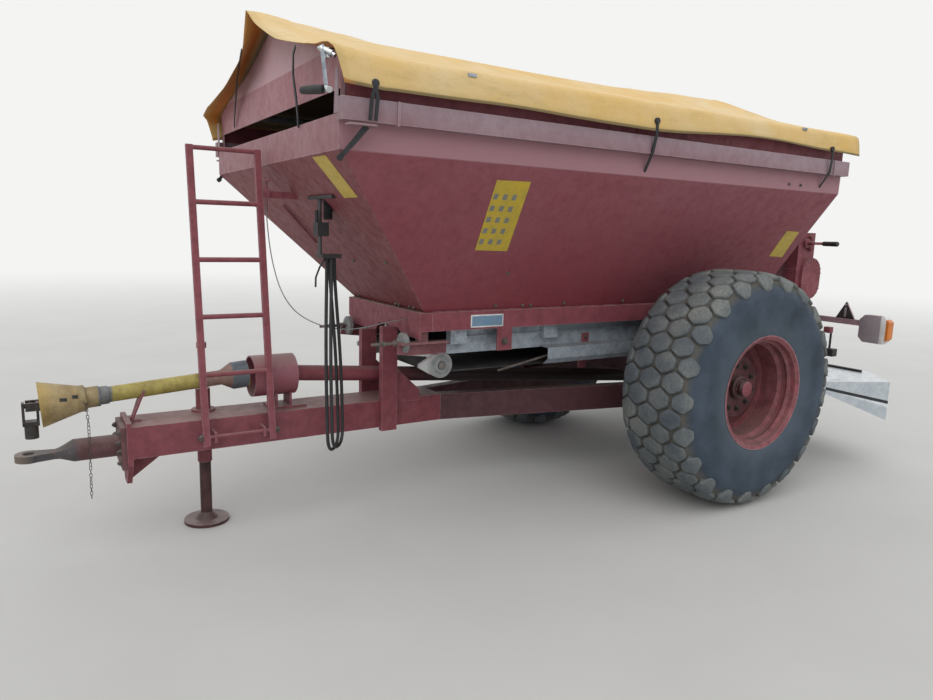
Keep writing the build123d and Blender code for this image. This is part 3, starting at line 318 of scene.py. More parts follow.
# one guard of several mouldings: olive tube, grey ribbed sleeve, beige collars and cream cone
guardPlastic = dustyPlastic("SunFadedGuardPlastic", {**plasticBase, "clean": "#b4a75a", "dusty": "#8f895c",
    "speck": "#6f6650", "rough": 0.5, "patchSize": 120, "speckShare": 0.5,
    "zones": (("X", 3.005 + axleX, 2.995 + axleX, "#8d6f66"), ("X", 2.862 + axleX, 2.856 + axleX, "#5f6a74"),
              ("X", 2.772 + axleX, 2.770 + axleX, "#a99a45"),
              ("X", 3.440 + axleX, 3.452 + axleX, "#74797b"), ("X", 3.508 + axleX, 3.511 + axleX, "#94835c"),
              ("X", 3.600 + axleX, 3.603 + axleX, "#a8946a"), ("X", 3.70 + axleX, 3.77 + axleX, "#ae9350"))})
cableJacket = dustyPlastic("GreyCableJacket", {**plasticBase, "clean": "#8d8f90", "dusty": "#6f6f6e",
    "speck": "#55524f"})
blackPlastic = dustyPlastic("MouldedBlackPlastic", {**plasticBase, "clean": "#191a1c", "dusty": "#2e2d2d",
    "speck": "#5a5652", "rough": 0.45})
lampRed = dustyPlastic("RedLampLens", {**plasticBase, "clean": "#9c1a1c", "dusty": "#7c2422",
    "speck": "#b0605c", "rough": 0.2})
lampOrange = dustyPlastic("OrangeLampLens", {**plasticBase, "clean": "#d0741c", "dusty": "#b5662a",
    "speck": "#c99a6a", "rough": 0.2})
stickerYellow = dustyPlastic("YellowVinylFilm", {**plasticBase, "clean": "#c6a92f", "dusty": "#b29b3c",
    "speck": "#7f7342", "rough": 0.35, "patchSize": 60})
stickerGrey = dustyPlastic("PrintedGreyFilm", {**plasticBase, "clean": "#7f8079", "dusty": "#74746c",
    "speck": "#8f8a60", "rough": 0.35, "patchSize": 40})
plantDust = dustyPlastic("DriedDustAndLeaf", {**plasticBase, "clean": "#9c857b", "dusty": "#75604f",
    "speck": "#4f4433", "rough": 0.95, "patchSize": 24, "speckShare": 0.8})
lampBack = dustyPlastic("GreyLampHousing", {**plasticBase, "clean": "#8f8489", "dusty": "#7f7579",
    "speck": "#7b7376", "rough": 0.5})
lampWhite = dustyPlastic("WhiteLampBoard", {**plasticBase, "clean": "#dcdcdb", "dusty": "#b9b6b1",
    "speck": "#8b8178", "rough": 0.4})
bluePlate = dustyPlastic("EnamelledBluePlate", {**plasticBase, "clean": "#5b7f9c", "dusty": "#6f8797",
    "speck": "#a9b2b6", "rough": 0.35, "patchSize": 50})

# Tyre rubber, cured in a mould: blue-grey and matt. Dust lies in the grooves, on the treads' flats
# and low on the wall, so the colour follows how far each point is from the wheel's axle.
tyreLook = {"wall": "#2b343e", "wallDusty": "#475361", "groove": "#57554f", "block": "#454e57",
            "blockDusty": "#7e807b"}
tyreRubber, tree, shader, place = newMaterial("MouldedTyreRubber")
radius = fromAxle(tree, place)
lugHeight = addNode(tree, "ShaderNodeAttribute", attribute_name="lug").outputs["Fac"]
cloud = patches(tree, place, 1000 / 260, 0.30, 0.72, 4.0, 0.55)
fineDust = patches(tree, place, 1000 / 16, 0.42, 0.66, 6.0, 0.7)
wallColour = blendColours(tree, cloud, tyreLook["wall"], tyreLook["wallDusty"])
wallColour = tint(tree, wallColour, mapped(tree, radius, 0.50, 0.37), 0.25, "#66717a")
wallColour = tint(tree, wallColour, fineDust, 0.14, "#2a3239")
blockColour = blendColours(tree, cloud, tyreLook["block"], tyreLook["blockDusty"])
blockColour = tint(tree, blockColour, fineDust, 0.5, "#3c444b")
grooveColour = tint(tree, tyreLook["groove"], fineDust, 0.6, "#3f3f3c")
treadColour = blendColours(tree, lugHeight, grooveColour, blockColour)
onTread = maths(tree, "MAXIMUM", mapped(tree, radius, 0.632, 0.672), lugHeight)
grain = (clouds(tree, place, 1000 / 9, 6.0), 0.5, 0.0015)
fillInputs(tree, shader, {"Base Color": blendColours(tree, onTread, wallColour, treadColour),
                          "Normal": bumps(tree, grain), "Roughness": 0.78, "Specular IOR Level": 0.3})

# Cover cloth: polyester woven at 3 mm, coated with PVC. The coating is smooth with the weave just
# showing through, sun-faded to sand with grey dust in the folds and green-brown damp marks.
clothLook = {"weave": 3.0, "clean": "#cfa95e", "faded": "#d3b989", "dirt": "#a38a50", "under": "#b8732c"}
coverCloth, tree, shader, place = newMaterial("CoatedCoverCloth")
broad = patches(tree, place, 1000 / 520, 0.36, 0.66)
base = blendColours(tree, broad, clothLook["clean"], clothLook["faded"])
drawn = addNode(tree, "ShaderNodeMapping", {0: place, 3: (5.0, 14.0, 14.0)}).outputs[0]
base = tint(tree, base, patches(tree, drawn, 1.0, 0.52, 0.78, 8.0, 0.7), 0.55, clothLook["dirt"])
base = tint(tree, base, patches(tree, place, 1000 / 12, 0.55, 0.72, 4.0), 0.3, "#a4925f")
# painted light and shade: cloth that faces down takes the underside colour below instead of the coating's
facing = mapped(tree, upright(tree, normalOf(tree)), -0.10, -0.25)
paintedUndersideColour = zoned(tree, place, (("X", 2.60 + axleX, 2.64 + axleX, clothLook["under"]),), "#6d6048")
base = blendColours(tree, facing, base, paintedUndersideColour)       # painted light: only the overhang's underside glows orange, as if lit through from above; further in the underside gets a painted shade of dull brown
hemBand = addNode(tree, "ShaderNodeAttribute", attribute_name="hem").outputs["Fac"]
base = tint(tree, base, hemBand, 0.35, "#b39a5e")
weave = addNode(tree, "ShaderNodeTexVoronoi", {"Vector": place, "Scale": 1000 / clothLook["weave"]})
folds = (clouds(tree, drawn, 1.6, 6.0), 0.3, 0.010)
fillInputs(tree, shader, {"Base Color": base, "Normal": bumps(tree, folds, (weave.outputs[0], 0.12, 0.0006)),
                          "Roughness": 0.58, "IOR": 1.48})
print("finishes made")

# Camera, lamps and floor
cameraLook = {"place": (3.789, 3.911, 1.658), "yaw": 32.11, "pitch": 9.526, "roll": 1.683,
              "focalPixels": 709.6, "widthPixels": 933}
yaw, pitch, roll = (math.radians(cameraLook[k]) for k in ("yaw", "pitch", "roll"))
flat = Vector((-math.sin(yaw), -math.cos(yaw), 0))
right = flat.cross(Vector((0, 0, 1)))
ahead = math.cos(pitch) * flat - math.sin(pitch) * Vector((0, 0, 1))
above = right.cross(ahead)
camRight = math.cos(roll) * right + math.sin(roll) * above
camUp = -math.sin(roll) * right + math.cos(roll) * above
camera = linked("Camera", bpy.data.cameras.new("Camera"))
turned = Matrix((camRight, camUp, -ahead)).transposed().to_4x4()
camera.matrix_world = Matrix.Translation(at(*cameraLook["place"])) @ turned
camera.data.sensor_width = 36.0
camera.data.lens = 36.0 * cameraLook["focalPixels"] / cameraLook["widthPixels"]
camera.data.clip_end = 200.0
scene.camera = camera

# A broad soft sun from the front left stands for an even overcast sky.
lampLook = {"key": {"strength": 1.45, "spread": 70.0, "from": (0.55, 0.62, 0.95)},
            "back": {"strength": 0.45, "spread": 90.0, "from": (-0.6, -0.5, 1.0)}}
for name, lamp in lampLook.items():
    made = linked("Lamp_" + name, bpy.data.lights.new("Lamp_" + name, "SUN"))
    made.data.energy = lamp["strength"]
    made.data.angle = math.radians(lamp["spread"])
    made.rotation_euler = (-Vector(lamp["from"])).to_track_quat("-Z", "Y").to_euler()

world = bpy.data.worlds.new("PlainSky")
scene.world = world
world.use_nodes = True
tree = world.node_tree
tree.nodes.clear()
seen = addNode(tree, "ShaderNodeLightPath").outputs
either = maths(tree, "MAXIMUM", seen["Is Camera Ray"], seen["Is Glossy Ray"])
white = maths(tree, "MAXIMUM", either, seen["Is Transmission Ray"])
sky = addNode(tree, "ShaderNodeBackground", {"Color": "#e9ebed", "Strength": 0.88})
plainWhite = addNode(tree, "ShaderNodeBackground", {"Color": "#f4f4f3", "Strength": 1.0})
mixed = addNode(tree, "ShaderNodeMixShader", {0: white, 1: sky.outputs[0], 2: plainWhite.outputs[0]})
addNode(tree, "ShaderNodeOutputWorld", {"Surface": mixed.outputs[0]})
scene.view_settings.view_transform = "Standard"

floorPaint, tree, shader, place = newMaterial("PlainPaleFloor")
soft = patches(tree, place, 1000 / 900, 0.3, 0.7)
fillInputs(tree, shader, {"Base Color": blendColours(tree, soft, "#b9b8b5", "#bebdba"), "Roughness": 0.9})
away = addNode(tree, "ShaderNodeMapRange", {0: vectors(tree, "LENGTH", place)["Value"], 1: 5.0, 2: 24.0},
               interpolation_type="SMOOTHSTEP").outputs[0]
seen = addNode(tree, "ShaderNodeLightPath").outputs["Is Camera Ray"]
backdrop = addNode(tree, "ShaderNodeEmission", {"Color": "#f4f4f3", "Strength": 1.0})
mixed = addNode(tree, "ShaderNodeMixShader", {0: maths(tree, "MULTIPLY", away, seen), 1: shader.outputs[0],
                                              2: backdrop.outputs[0]})
for node in tree.nodes:
    if node.type == "OUTPUT_MATERIAL":
        tree.links.new(mixed.outputs[0], node.inputs["Surface"])
floorMesh = bpy.data.meshes.new("Floor")
floorMesh.from_pydata([(-60, -60, 0), (60, -60, 0), (60, 60, 0), (-60, 60, 0)], [], [(0, 1, 2, 3)])
floor = linked("Floor", floorMesh)
giveMaterial(floor, floorPaint)
print("camera, lamps and floor made")


# Helpers for pieces
def unit(value):
    return max(0.0, min(1.0, value))


def linkPiece(name, mesh, material, body="chassis"):
    piece = linked(name, mesh)
    giveMaterial(piece, material)
    mesh.shade_smooth()
    if body:
        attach(piece, body)
    return piece


def routeCurve(name, points, material, radius):
    curve = bpy.data.curves.new(name, "CURVE")
    curve.dimensions = "3D"
    line = curve.splines.new("NURBS")
    line.points.add(len(points) - 1)
    for knot, (x, y, z) in zip(line.points, points):
        knot.co = (x, y, z, 1.0)
    line.order_u = 3
    line.use_endpoint_u = True
    curve.bevel_depth = radius
    curve.bevel_resolution = 4
    curve.resolution_u = 12
    curve.use_fill_caps = True
    curve.materials.append(material)
    return linked(name, curve)


def ringAround(mesh, middle, side, other, radius, sides):
    turns = [2 * math.pi * k / sides for k in range(sides)]
    return [mesh.verts.new(middle + radius * (math.cos(a) * side + math.sin(a) * other)) for a in turns]


def skin(mesh, rings):
    # faces from each ring of points to the next
    for first, second in zip(rings, rings[1:]):
        for k in range(len(first)):
            n = (k + 1) % len(first)
            mesh.faces.new((first[k], first[n], second[n], second[k]))


def courses(points):
    # each point with the direction of the line there
    points = [Vector(p) for p in points]
    return [(point, (points[min(i + 1, len(points) - 1)] - points[max(i - 1, 0)]).normalized())
            for i, point in enumerate(points)]


class Shape:
    # gathers solids in one mesh: bent bars, plates, pins and bolts of one fitting
    def __init__(self):
        self.mesh = bmesh.new()

    def soften(self, edges, bevel):
        bmesh.ops.bevel(self.mesh, geom=edges, offset=bevel, segments=2, profile=0.6, affect="EDGES")

    def close(self, rings):
        skin(self.mesh, rings)
        self.mesh.faces.new(list(reversed(rings[0])))
        self.mesh.faces.new(rings[-1])
        return self

    def box(self, low, high, bevel=0.0, turn=None):
        verts = bmesh.ops.create_cube(self.mesh, size=1.0)["verts"]
        low, high = Vector(low), Vector(high)
        for vert in verts:
            vert.co = Vector([(l + h) / 2 + c * (h - l) for c, l, h in zip(vert.co, low, high)])
        if turn is not None:
            bmesh.ops.rotate(self.mesh, verts=verts, cent=(low + high) / 2, matrix=turn)
        if bevel:
            self.soften(list({e for v in verts for e in v.link_edges}), bevel)
        return self

    def rod(self, start, end, radius, sides=20, bevel=0.0):
        start, end = Vector(start), Vector(end)
        along = end - start
        made = bmesh.ops.create_cone(self.mesh, cap_ends=True, segments=sides, radius1=radius,
                                     radius2=radius, depth=along.length)
        turn = along.to_track_quat("Z", "Y").to_matrix().to_4x4()
        turn.translation = (start + end) / 2
        bmesh.ops.transform(self.mesh, matrix=turn, verts=made["verts"])
        if bevel:
            self.soften([e for e in {e for v in made["verts"] for e in v.link_edges}
                         if len(e.link_faces) == 2 and e.calc_face_angle() > 0.9], bevel)
        return self

    def bar(self, points, radius, sides=10):
        # a round bar bent through points
        rings, side = [], None
        for point, along in courses(points):
            if side is None:
                side = along.orthogonal().normalized()
            side = (side - side.dot(along) * along).normalized()
            rings.append(ringAround(self.mesh, point, side, along.cross(side), radius, sides))
        return self.close(rings)

    def strip(self, points, widths, thickness, facing):
        # a flat band through points, its flat side towards `facing`
        rings = []
        for (point, along), width in zip(courses(points), widths):
            side = along.cross(Vector(facing)).normalized()
            out = side.cross(along).normalized()
            rings.append([self.mesh.verts.new(point + side * a * width / 2 + out * b * thickness / 2)
                          for a, b in ((-1, -1), (1, -1), (1, 1), (-1, 1))])
        return self.close(rings)

    def nut(self, place, axis, size):
        # washer, hexagon and bolt end standing on a face
        place, axis = Vector(place), Vector(axis).normalized()
        self.rod(place - axis * 0.001, place + axis * size * 0.2, size * 1.25)
        self.rod(place, place + axis * size * 0.95, size, sides=6, bevel=size * 0.08)
        return self.rod(place, place + axis * size * 1.4, size * 0.55, sides=12)

    def plate(self, corners, thickness, direction=None, bevel=0.0):
        corners = [Vector(c) for c in corners]
        if direction is None:
            direction = (corners[1] - corners[0]).cross(corners[2] - corners[1]).normalized()
        step = Vector(direction) * thickness
        near = [self.mesh.verts.new(c) for c in corners]
        far = [self.mesh.verts.new(c + step) for c in corners]
        faces = [self.mesh.faces.new(list(reversed(near))), self.mesh.faces.new(far)]
        count = len(corners)
        for k in range(count):
            faces.append(self.mesh.faces.new((near[k], near[(k + 1) % count], far[(k + 1) % count], far[k])))
        if bevel:
            self.soften(list({e for f in faces for e in f.edges}), bevel)
        return self

    def turned(self, profile, centre, axis, sides=48):
        # a profile of (along, radius) spun about an axis, closed at both ends
        centre, axis = Vector(centre), Vector(axis).normalized()
        side = axis.orthogonal().normalized()
        rings = []
        for along, radius in profile:
            middle = centre + along * axis
            if radius < 1e-6:
                rings.append([self.mesh.verts.new(middle)])
            else:
                rings.append(ringAround(self.mesh, middle, side, axis.cross(side), radius, sides))
        for first, second in zip(rings, rings[1:]):
            if len(first) == len(second):
                if len(first) > 1:
                    skin(self.mesh, (first, second))
                continue
            for k in range(sides):
                n = (k + 1) % sides
                self.mesh.faces.new((first[0], second[n], second[k]) if len(first) == 1
                                    else (first[k], first[n], second[0]))
        if len(rings[0]) > 1:
            self.mesh.faces.new(list(reversed(rings[0])))
        if len(rings[-1]) > 1:
            self.mesh.faces.new(rings[-1])
        return self

    def finish(self, name, material, slotName, body="chassis"):
        bmesh.ops.recalc_face_normals(self.mesh, faces=self.mesh.faces)
        mesh = bpy.data.meshes.new(name)
        self.mesh.to_mesh(mesh)
        self.mesh.free()
        piece = linkPiece(name, mesh, material, body)
        mesh.set_sharp_from_angle(angle=math.radians(30.0))
        return piece


def treeMesh(name, tree, inputs):
    # runs a Geometry Nodes tree and keeps its result as a plain mesh
    start = linked(name + "_start", bpy.data.meshes.new(name + "_start"))
    modifier = start.modifiers.new("Nodes", "NODES")
    modifier.node_group = tree
    for item in tree.interface.items_tree:
        if item.item_type == "SOCKET" and item.in_out == "INPUT":
            modifier[item.identifier] = inputs[item.name]
    bpy.context.view_layer.update()
    ready = start.evaluated_get(bpy.context.evaluated_depsgraph_get())
    mesh = bpy.data.meshes.new_from_object(ready)
    mesh.name = name
    bpy.data.objects.remove(start)
    return mesh


def newTree(name, sockets):
    tree = bpy.data.node_groups.new(name, "GeometryNodeTree")
    tree.interface.new_socket("Geometry", in_out="OUTPUT", socket_type="NodeSocketGeometry")
    for label, kind in sockets:
        tree.interface.new_socket(label, in_out="INPUT", socket_type="NodeSocket" + kind)
    return tree, tree.nodes.new("NodeGroupInput").outputs, tree.nodes.new("NodeGroupOutput")


# Cords
hoseLook = {"diameter": 0.018, "lengths": (2.221, 2.189), "shifts": ((-0.013, 0.0), (0.013, 0.016)),
            "port": (2.430, 0.390), "along": (0.652, 0.757)}
loopAlong = Vector((*hoseLook["along"], 0)).normalized()
loopSide = Vector((0, 0, 1)).cross(loopAlong)
hoseRoute = ((-0.024, 1.4997), (-0.024, 1.430), (-0.062, 1.240), (-0.104, 1.050), (-0.134, 0.850),
             (-0.152, 0.650), (-0.165, 0.448), (0.005, 0.448), (0.020, 0.640), (0.030, 0.850),
             (0.032, 1.060), (0.027, 1.240), (0.017, 1.400), (0.017, 1.4997))
def layCord(name, replaced, points, material, diameter):
    cord = routeCurve(name, points, material, diameter / 2)
    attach(cord, "chassis")
    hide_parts(replaced)


for count, ((shift, lift), length) in enumerate(zip(hoseLook["shifts"], hoseLook["lengths"]), 1):
    points = []
    for step, (along, z) in enumerate(hoseRoute):
        raised = z + (lift if 3 < step < 10 else 0)            # the lower points only
        points.append(at(*hoseLook["port"], raised) + loopAlong * along + loopSide * shift)
    layCord(f"hoseLine_{count}", f"hose_{count}", points, hoseRubber, hoseLook["diameter"])

cableLook = {"diameter": 0.006, "length": 1.290}
cableRoute = ((2.655, 0.034, 1.7997), (2.655, 0.038, 1.720), (2.652, 0.046, 1.640), (2.648, 0.058, 1.562),
              (2.641, 0.073, 1.484), (2.630, 0.091, 1.408), (2.614, 0.112, 1.333), (2.588, 0.139, 1.262),
              (2.548, 0.172, 1.200), (2.490, 0.209, 1.155), (2.420, 0.247, 1.124), (2.344, 0.283, 1.108),
              (2.266, 0.313, 1.108), (2.188, 0.331, 1.120), (2.110, 0.339, 1.136), (2.034, 0.341, 1.148),
              (1.9553, 0.341, 1.155))
layCord("sensorCableLine", "sensor_cable", [at(*p) for p in cableRoute], cableJacket, cableLook["diameter"])
print("cords laid")

# Wheels
wheelLook = {"axleY": 1.037, "pitchCount": 21, "rowStep": 0.084, "tip": 0.0725, "flat": 0.031,
             "halfBlock": 0.0755, "corner": 0.014, "height": 0.024, "reach": 0.62, "steps": 30,
             "treadReach": 0.345, "fade": 0.06, "sides": 168, "nuts": 10, "nutCircle": 0.140}
sectionLine = ((0.0, axleZ), (0.07, 0.7348), (0.138, 0.7335), (0.184, 0.7245), (0.224, 0.710),
               (0.243, 0.690), (0.256, 0.660), (0.2645, 0.612), (0.268, 0.56), (0.2685, 0.48),
               (0.266, 0.41), (0.258, 0.36), (0.246, 0.3365))


def onSection(reach):
    # the tyre's outer line from the crown outwards: the place and the outward direction there
    def walk(want):
        for (y0, r0), (y1, r1) in zip(sectionLine, sectionLine[1:]):
            span = math.dist((y0, r0), (y1, r1))
            if want <= span:
                return Vector((y0 + (y1 - y0) * want / span, r0 + (r1 - r0) * want / span))
            want -= span
        return Vector(sectionLine[-1])
    here = walk(reach)
    along = (walk(reach + 0.018) - walk(max(0.0, reach - 0.018))).normalized()
    return here, Vector((-along.y, along.x)) if reach else Vector((0.0, 1.0))


def treadBlock(look):
    # one block, laid flat: a long hexagon with rounded corners, drawn in towards its worn top
    mesh = bmesh.new()
    corners = ((look["tip"], 0), (look["flat"], look["halfBlock"]), (-look["flat"], look["halfBlock"]),
               (-look["tip"], 0), (-look["flat"], -look["halfBlock"]), (look["flat"], -look["halfBlock"]))
    outline = []
    for k, corner in enumerate(corners):
        here = Vector(corner)
        before = (Vector(corners[k - 1]) - here).normalized() * look["corner"]
        after = (Vector(corners[(k + 1) % 6]) - here).normalized() * look["corner"]
        outline += [here + before, here + before * 0.35 + after * 0.35, here + after]
    rings = []
    for share, lift in ((1.12, -0.012), (1.0, 0.35), (0.94, 0.80), (0.88, 0.97), (0.70, 1.0), (0.35, 1.02)):
        height = lift if lift < 0 else lift * look["height"]
        rings.append([mesh.verts.new((p.x * share, p.y * share, height)) for p in outline])
    skin(mesh, rings)
    mesh.faces.new(rings[-1])
    made = bpy.data.meshes.new("TreadBlock")
    mesh.to_mesh(made)
    mesh.free()
    return linked("TreadBlock", made)


def layPieces(tree, result, piece, material, inputs):
    # one piece on every point, made real and given its material
    shape = addNode(tree, "GeometryNodeObjectInfo", {"Object": piece})
    laid = addNode(tree, "GeometryNodeInstanceOnPoints", {"Instance": shape.outputs["Geometry"], **inputs})
    real = addNode(tree, "GeometryNodeRealizeInstances", {0: laid.outputs[0]})
    coated = addNode(tree, "GeometryNodeSetMaterial", {"Geometry": real.outputs[0], "Material": material})
    tree.links.new(coated.outputs[0], result.inputs[0])
    return tree


def treadTree():
    # blocks in staggered rows on a flat strip: X runs round the tyre, Y across it, Z out of it
    tree, given, result = newTree("TreadRows", (("Block", "Object"), ("Rows", "Int"), ("Round", "Int"),
                                                ("Row step", "Float"), ("Pitch", "Float"), ("Seed", "Int")))
    count = maths(tree, "MULTIPLY", given["Rows"], given["Round"])
    points = addNode(tree, "GeometryNodePoints", {"Count": count})
    index = addNode(tree, "GeometryNodeInputIndex").outputs[0]
    row = maths(tree, "FLOOR", maths(tree, "DIVIDE", index, given["Round"]))
    turn = maths(tree, "MODULO", index, given["Round"])
    half = maths(tree, "MULTIPLY_ADD", maths(tree, "MODULO", row, 2.0), 0.5, turn)
    along = maths(tree, "MULTIPLY", half, given["Pitch"])
    middle = maths(tree, "MULTIPLY", maths(tree, "SUBTRACT", given["Rows"], 1.0), 0.5)
    across = maths(tree, "MULTIPLY", maths(tree, "SUBTRACT", row, middle), given["Row step"])
    place = addNode(tree, "ShaderNodeCombineXYZ", {0: along, 1: across})
    placed = addNode(tree, "GeometryNodeSetPosition",
                     {"Geometry": points.outputs[0], "Position": place.outputs[0]})
    sway, size = (addNode(tree, "FunctionNodeRandomValue", {"Min": low, "Max": high, "Seed": given["Seed"]},
                          data_type="FLOAT_VECTOR").outputs[0]
                  for low, high in (((0.0, 0.0, -0.05), (0.0, 0.0, 0.05)),
                                    ((0.95, 0.95, 0.86), (1.03, 1.03, 1.0))))
    return layPieces(tree, result, given["Block"], tyreRubber,
                     {"Points": placed.outputs[0], "Rotation": sway, "Scale": size})


block = treadBlock(wheelLook)
rows = treadTree()
for sign, seed in ((1, 3), (-1, 8)):
    side = sideNames[sign]
    pitch = 2 * math.pi / wheelLook["pitchCount"]
    strip = treeMesh("strip", rows, {"Block": block, "Rows": 7, "Round": wheelLook["pitchCount"],
                                     "Row step": wheelLook["rowStep"], "Pitch": pitch * axleZ, "Seed": seed})
    wheel = bmesh.new()
    wheel.from_mesh(strip)
    lug = wheel.verts.layers.float.new("lug")
    centre = Vector((axleX, sign * wheelLook["axleY"], axleZ))
    for vert in wheel.verts:
        along, across, lift = vert.co
        angle = along / axleZ
        vert[lug] = unit((lift - 0.004) / 0.012)
        (y, r), (outY, outR) = onSection(abs(across))
        sunk = lift - wheelLook["height"] - 0.0006
        y, r = math.copysign(y + outY * sunk, across), r + outR * sunk
        vert.co = centre + Vector((r * math.cos(angle), sign * y, r * math.sin(angle)))
    carcass = []
    for k in range(wheelLook["steps"] + 1):
        reach = wheelLook["reach"] * k / wheelLook["steps"]
        (y, r), (outY, outR) = onSection(reach)
        depth = wheelLook["height"] * unit((wheelLook["treadReach"] - reach) / wheelLook["fade"])
        carcass.append((y - outY * depth, r - outR * depth))
    carcass.append(sectionLine[-1])
    inner = ((0.20, 0.45), (0.18, 0.60), (0.10, 0.66), (0.0, 0.67),
             (-0.10, 0.66), (-0.18, 0.60), (-0.20, 0.45))
    outline = [(-y, r) for y, r in carcass[:0:-1]] + carcass + list(inner)
    rings = []
    for step in range(wheelLook["sides"]):
        angle = 2 * math.pi * step / wheelLook["sides"]
        rings.append([wheel.verts.new(centre + Vector((r * math.cos(angle), y, r * math.sin(angle))))
                      for y, r in outline])
    skin(wheel, rings + rings[:1])
    bmesh.ops.recalc_face_normals(wheel, faces=wheel.faces)
    mesh = bpy.data.meshes.new(f"treadedTyre_{side}")
    wheel.to_mesh(mesh)
    wheel.free()
    tyre = linkPiece(f"treadedTyre_{side}", mesh, tyreRubber, f"wheel_{side}")
    mesh.set_sharp_from_angle(angle=math.radians(38))
    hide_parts(f"tyre_{side}")
bpy.data.objects.remove(block)
print("tyres made")

# Cover cloth
coverLook = {"front": 2.733, "rear": -1.010, "thickness": 0.0016, "clothWidth": 2.62, "clothLength": 3.74,
             "lengthSteps": 220, "halfSteps": 60, "ridgeZ": 2.711, "edgeZ": 2.356, "hemZ": 2.210,
             "hemDrop": 0.146, "gableX": 2.63, "overhang": 0.25}
coverSection = ((0.0, 2.711), (0.12, 2.666), (0.28, 2.602), (0.42, 2.545), (0.50, 2.516), (0.66, 2.471),
                (0.80, 2.432), (0.89, 2.4085), (0.93, 2.4020), (0.99, 2.387), (1.05, 2.370), (1.095, 2.356),
                (1.112, 2.336), (1.118, 2.30), (1.122, 2.255), (1.125, 2.210))
ridgeLine = ((-1.01, 2.716), (-0.9, 2.722), (-0.5, 2.716), (-0.08, 2.700), (0.3, 2.686), (1.0, 2.684),
             (1.5, 2.687), (1.98, 2.695), (2.22, 2.714), (2.45, 2.728), (2.66, 2.744), (2.735, 2.741))
hemLine = ((-1.01, 2.225), (-0.77, 2.229), (-0.06, 2.250), (1.0, 2.207), (1.9, 2.222), (2.4, 2.217),
           (2.735, 2.203))


def lookUp(line, x):
    for (x0, z0), (x1, z1) in zip(line, line[1:]):
        if x <= x1:
            share = max(0.0, (x - x0) / (x1 - x0))
            share = share * share * (3 - 2 * share)
            return z0 + (z1 - z0) * share
    return line[-1][1]


def alongSection(share):
    # a point of the half section, share 0 at the ridge and 1 at the hem
    spans = [math.dist(a, b) for a, b in zip(coverSection, coverSection[1:])]
    want = share * sum(spans)
    for span, (y0, z0), (y1, z1) in zip(spans, coverSection, coverSection[1:]):
        if want <= span:
            return y0 + (y1 - y0) * want / span, z0 + (z1 - z0) * want / span
        want -= span
    return coverSection[-1]


def bell(value, width):
    return math.exp(-(value / width) ** 2)


cloth = bmesh.new()
hemmed = cloth.verts.layers.float.new("hem")
steps, half = coverLook["lengthSteps"], coverLook["halfSteps"]
grid = []
for i in range(steps + 1):
    along = coverLook["front"] + (coverLook["rear"] - coverLook["front"]) * i / steps
    line = []
    for j in range(-half, half + 1):
        y, z = alongSection(abs(j) / half)
        side = math.copysign(1, j)
        drop = max(0.0, (coverLook["edgeZ"] - z) / coverLook["hemDrop"])    # 0 on the roof, 1 at the hem
        near = max(0.0, 1 - (coverLook["front"] - along) / coverLook["overhang"])
        x = along - near * (0.030 * bell(y - 1.12, 0.03) + 0.042 * min(1.0, drop * 1.05))
        between = unit((2.50 - x) / 0.2) * unit((x + 0.86) / 0.2)
        roof = math.sin(math.pi * min(1.0, y / 0.88)) if y < 0.88 else 0.0
        z += (lookUp(ridgeLine, x) - coverLook["ridgeZ"] - (0.004 if between else 0)) * bell(y, 0.10)
        z += (lookUp(hemLine, x) - coverLook["hemZ"]) * unit(drop)
        slack = noise.noise(Vector((x * 0.9, side * y * 1.6, 4.0)))
        z += roof * between * (-0.013 + 0.011 * slack)
        # tension folds fan back from the front corner over the gable
        corner = Vector((x - 2.50, y - 0.93))
        for slope, length, size in ((0.35, 0.42, 0.010), (0.9, 0.30, 0.007), (-0.05, 0.5, 0.006)):
            lineX, lineY = math.cos(slope), math.sin(slope)
            forward = -(corner.x * lineX + corner.y * lineY)
            off = -corner.x * lineY + corner.y * lineX
            if 0 < forward < length * 1.6:
                fold = size * bell(off, 0.03) * math.sin(math.pi * forward / (length * 1.6))
                z += fold * (side > 0 or 0.6)
        free = max(0.0, (x - coverLook["gableX"]) / 0.10)          # the part ahead of the gable
        if side > 0:
            z += near * 0.020 * bell(y - 1.11, 0.07) - 0.012 * min(1.0, free) * roof
            y += near * 0.022 * bell(y - 1.11, 0.05)
        elif free:
            held = min(1.0, y / 0.07) * max(0.15, 1 - max(0.0, y - 0.15) / 0.9)
            z -= (x - coverLook["gableX"]) * 1.32 * held           # the strap has folded this side down
        z += 0.006 * bell(x - 2.60 + (y - 0.5) * 0.14, 0.022) * roof
        wave = noise.noise(Vector((x * 2.6, 1.0 if side > 0 else 7.0, 0.0)))
        y += unit(drop) * (0.006 * wave + 0.003 * noise.noise(Vector((x * 7, side * 2, 2))))
        z += unit(drop) * 0.005 * noise.noise(Vector((x * 1.9, 3.0 if side > 0 else 8.0, 0.0)))
        y += unit(drop) * 0.004
        made = cloth.verts.new(at(x, side * y if j else 0.0, z))
        made[hemmed] = 1.0 if drop > 0.80 or i < 3 or i > steps - 3 else 0.0
        line.append(made)
    grid.append(line)
for first, second in zip(grid, grid[1:]):
    for k in range(2 * half):
        cloth.faces.new((first[k], first[k + 1], second[k + 1], second[k]))
mesh = bpy.data.meshes.new("coverSheet")
cloth.to_mesh(mesh)
cloth.free()
cover = linkPiece("coverSheet", mesh, coverCloth, None)
thick = cover.modifiers.new("Thickness", "SOLIDIFY")
thick.thickness = coverLook["thickness"]
thick.offset = 0.0
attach(cover, "chassis")
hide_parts("tarp_cover")
eyelets = Shape()
for side in (1, -1):
    for x, z in ((2.046, 2.337), (-0.408, 2.345)):
        eyelets.box(at(x - 0.022, side * 1.114 - 0.006, z - 0.008),
                    at(x + 0.022, side * 1.114 + 0.006, z + 0.008), bevel=0.004)
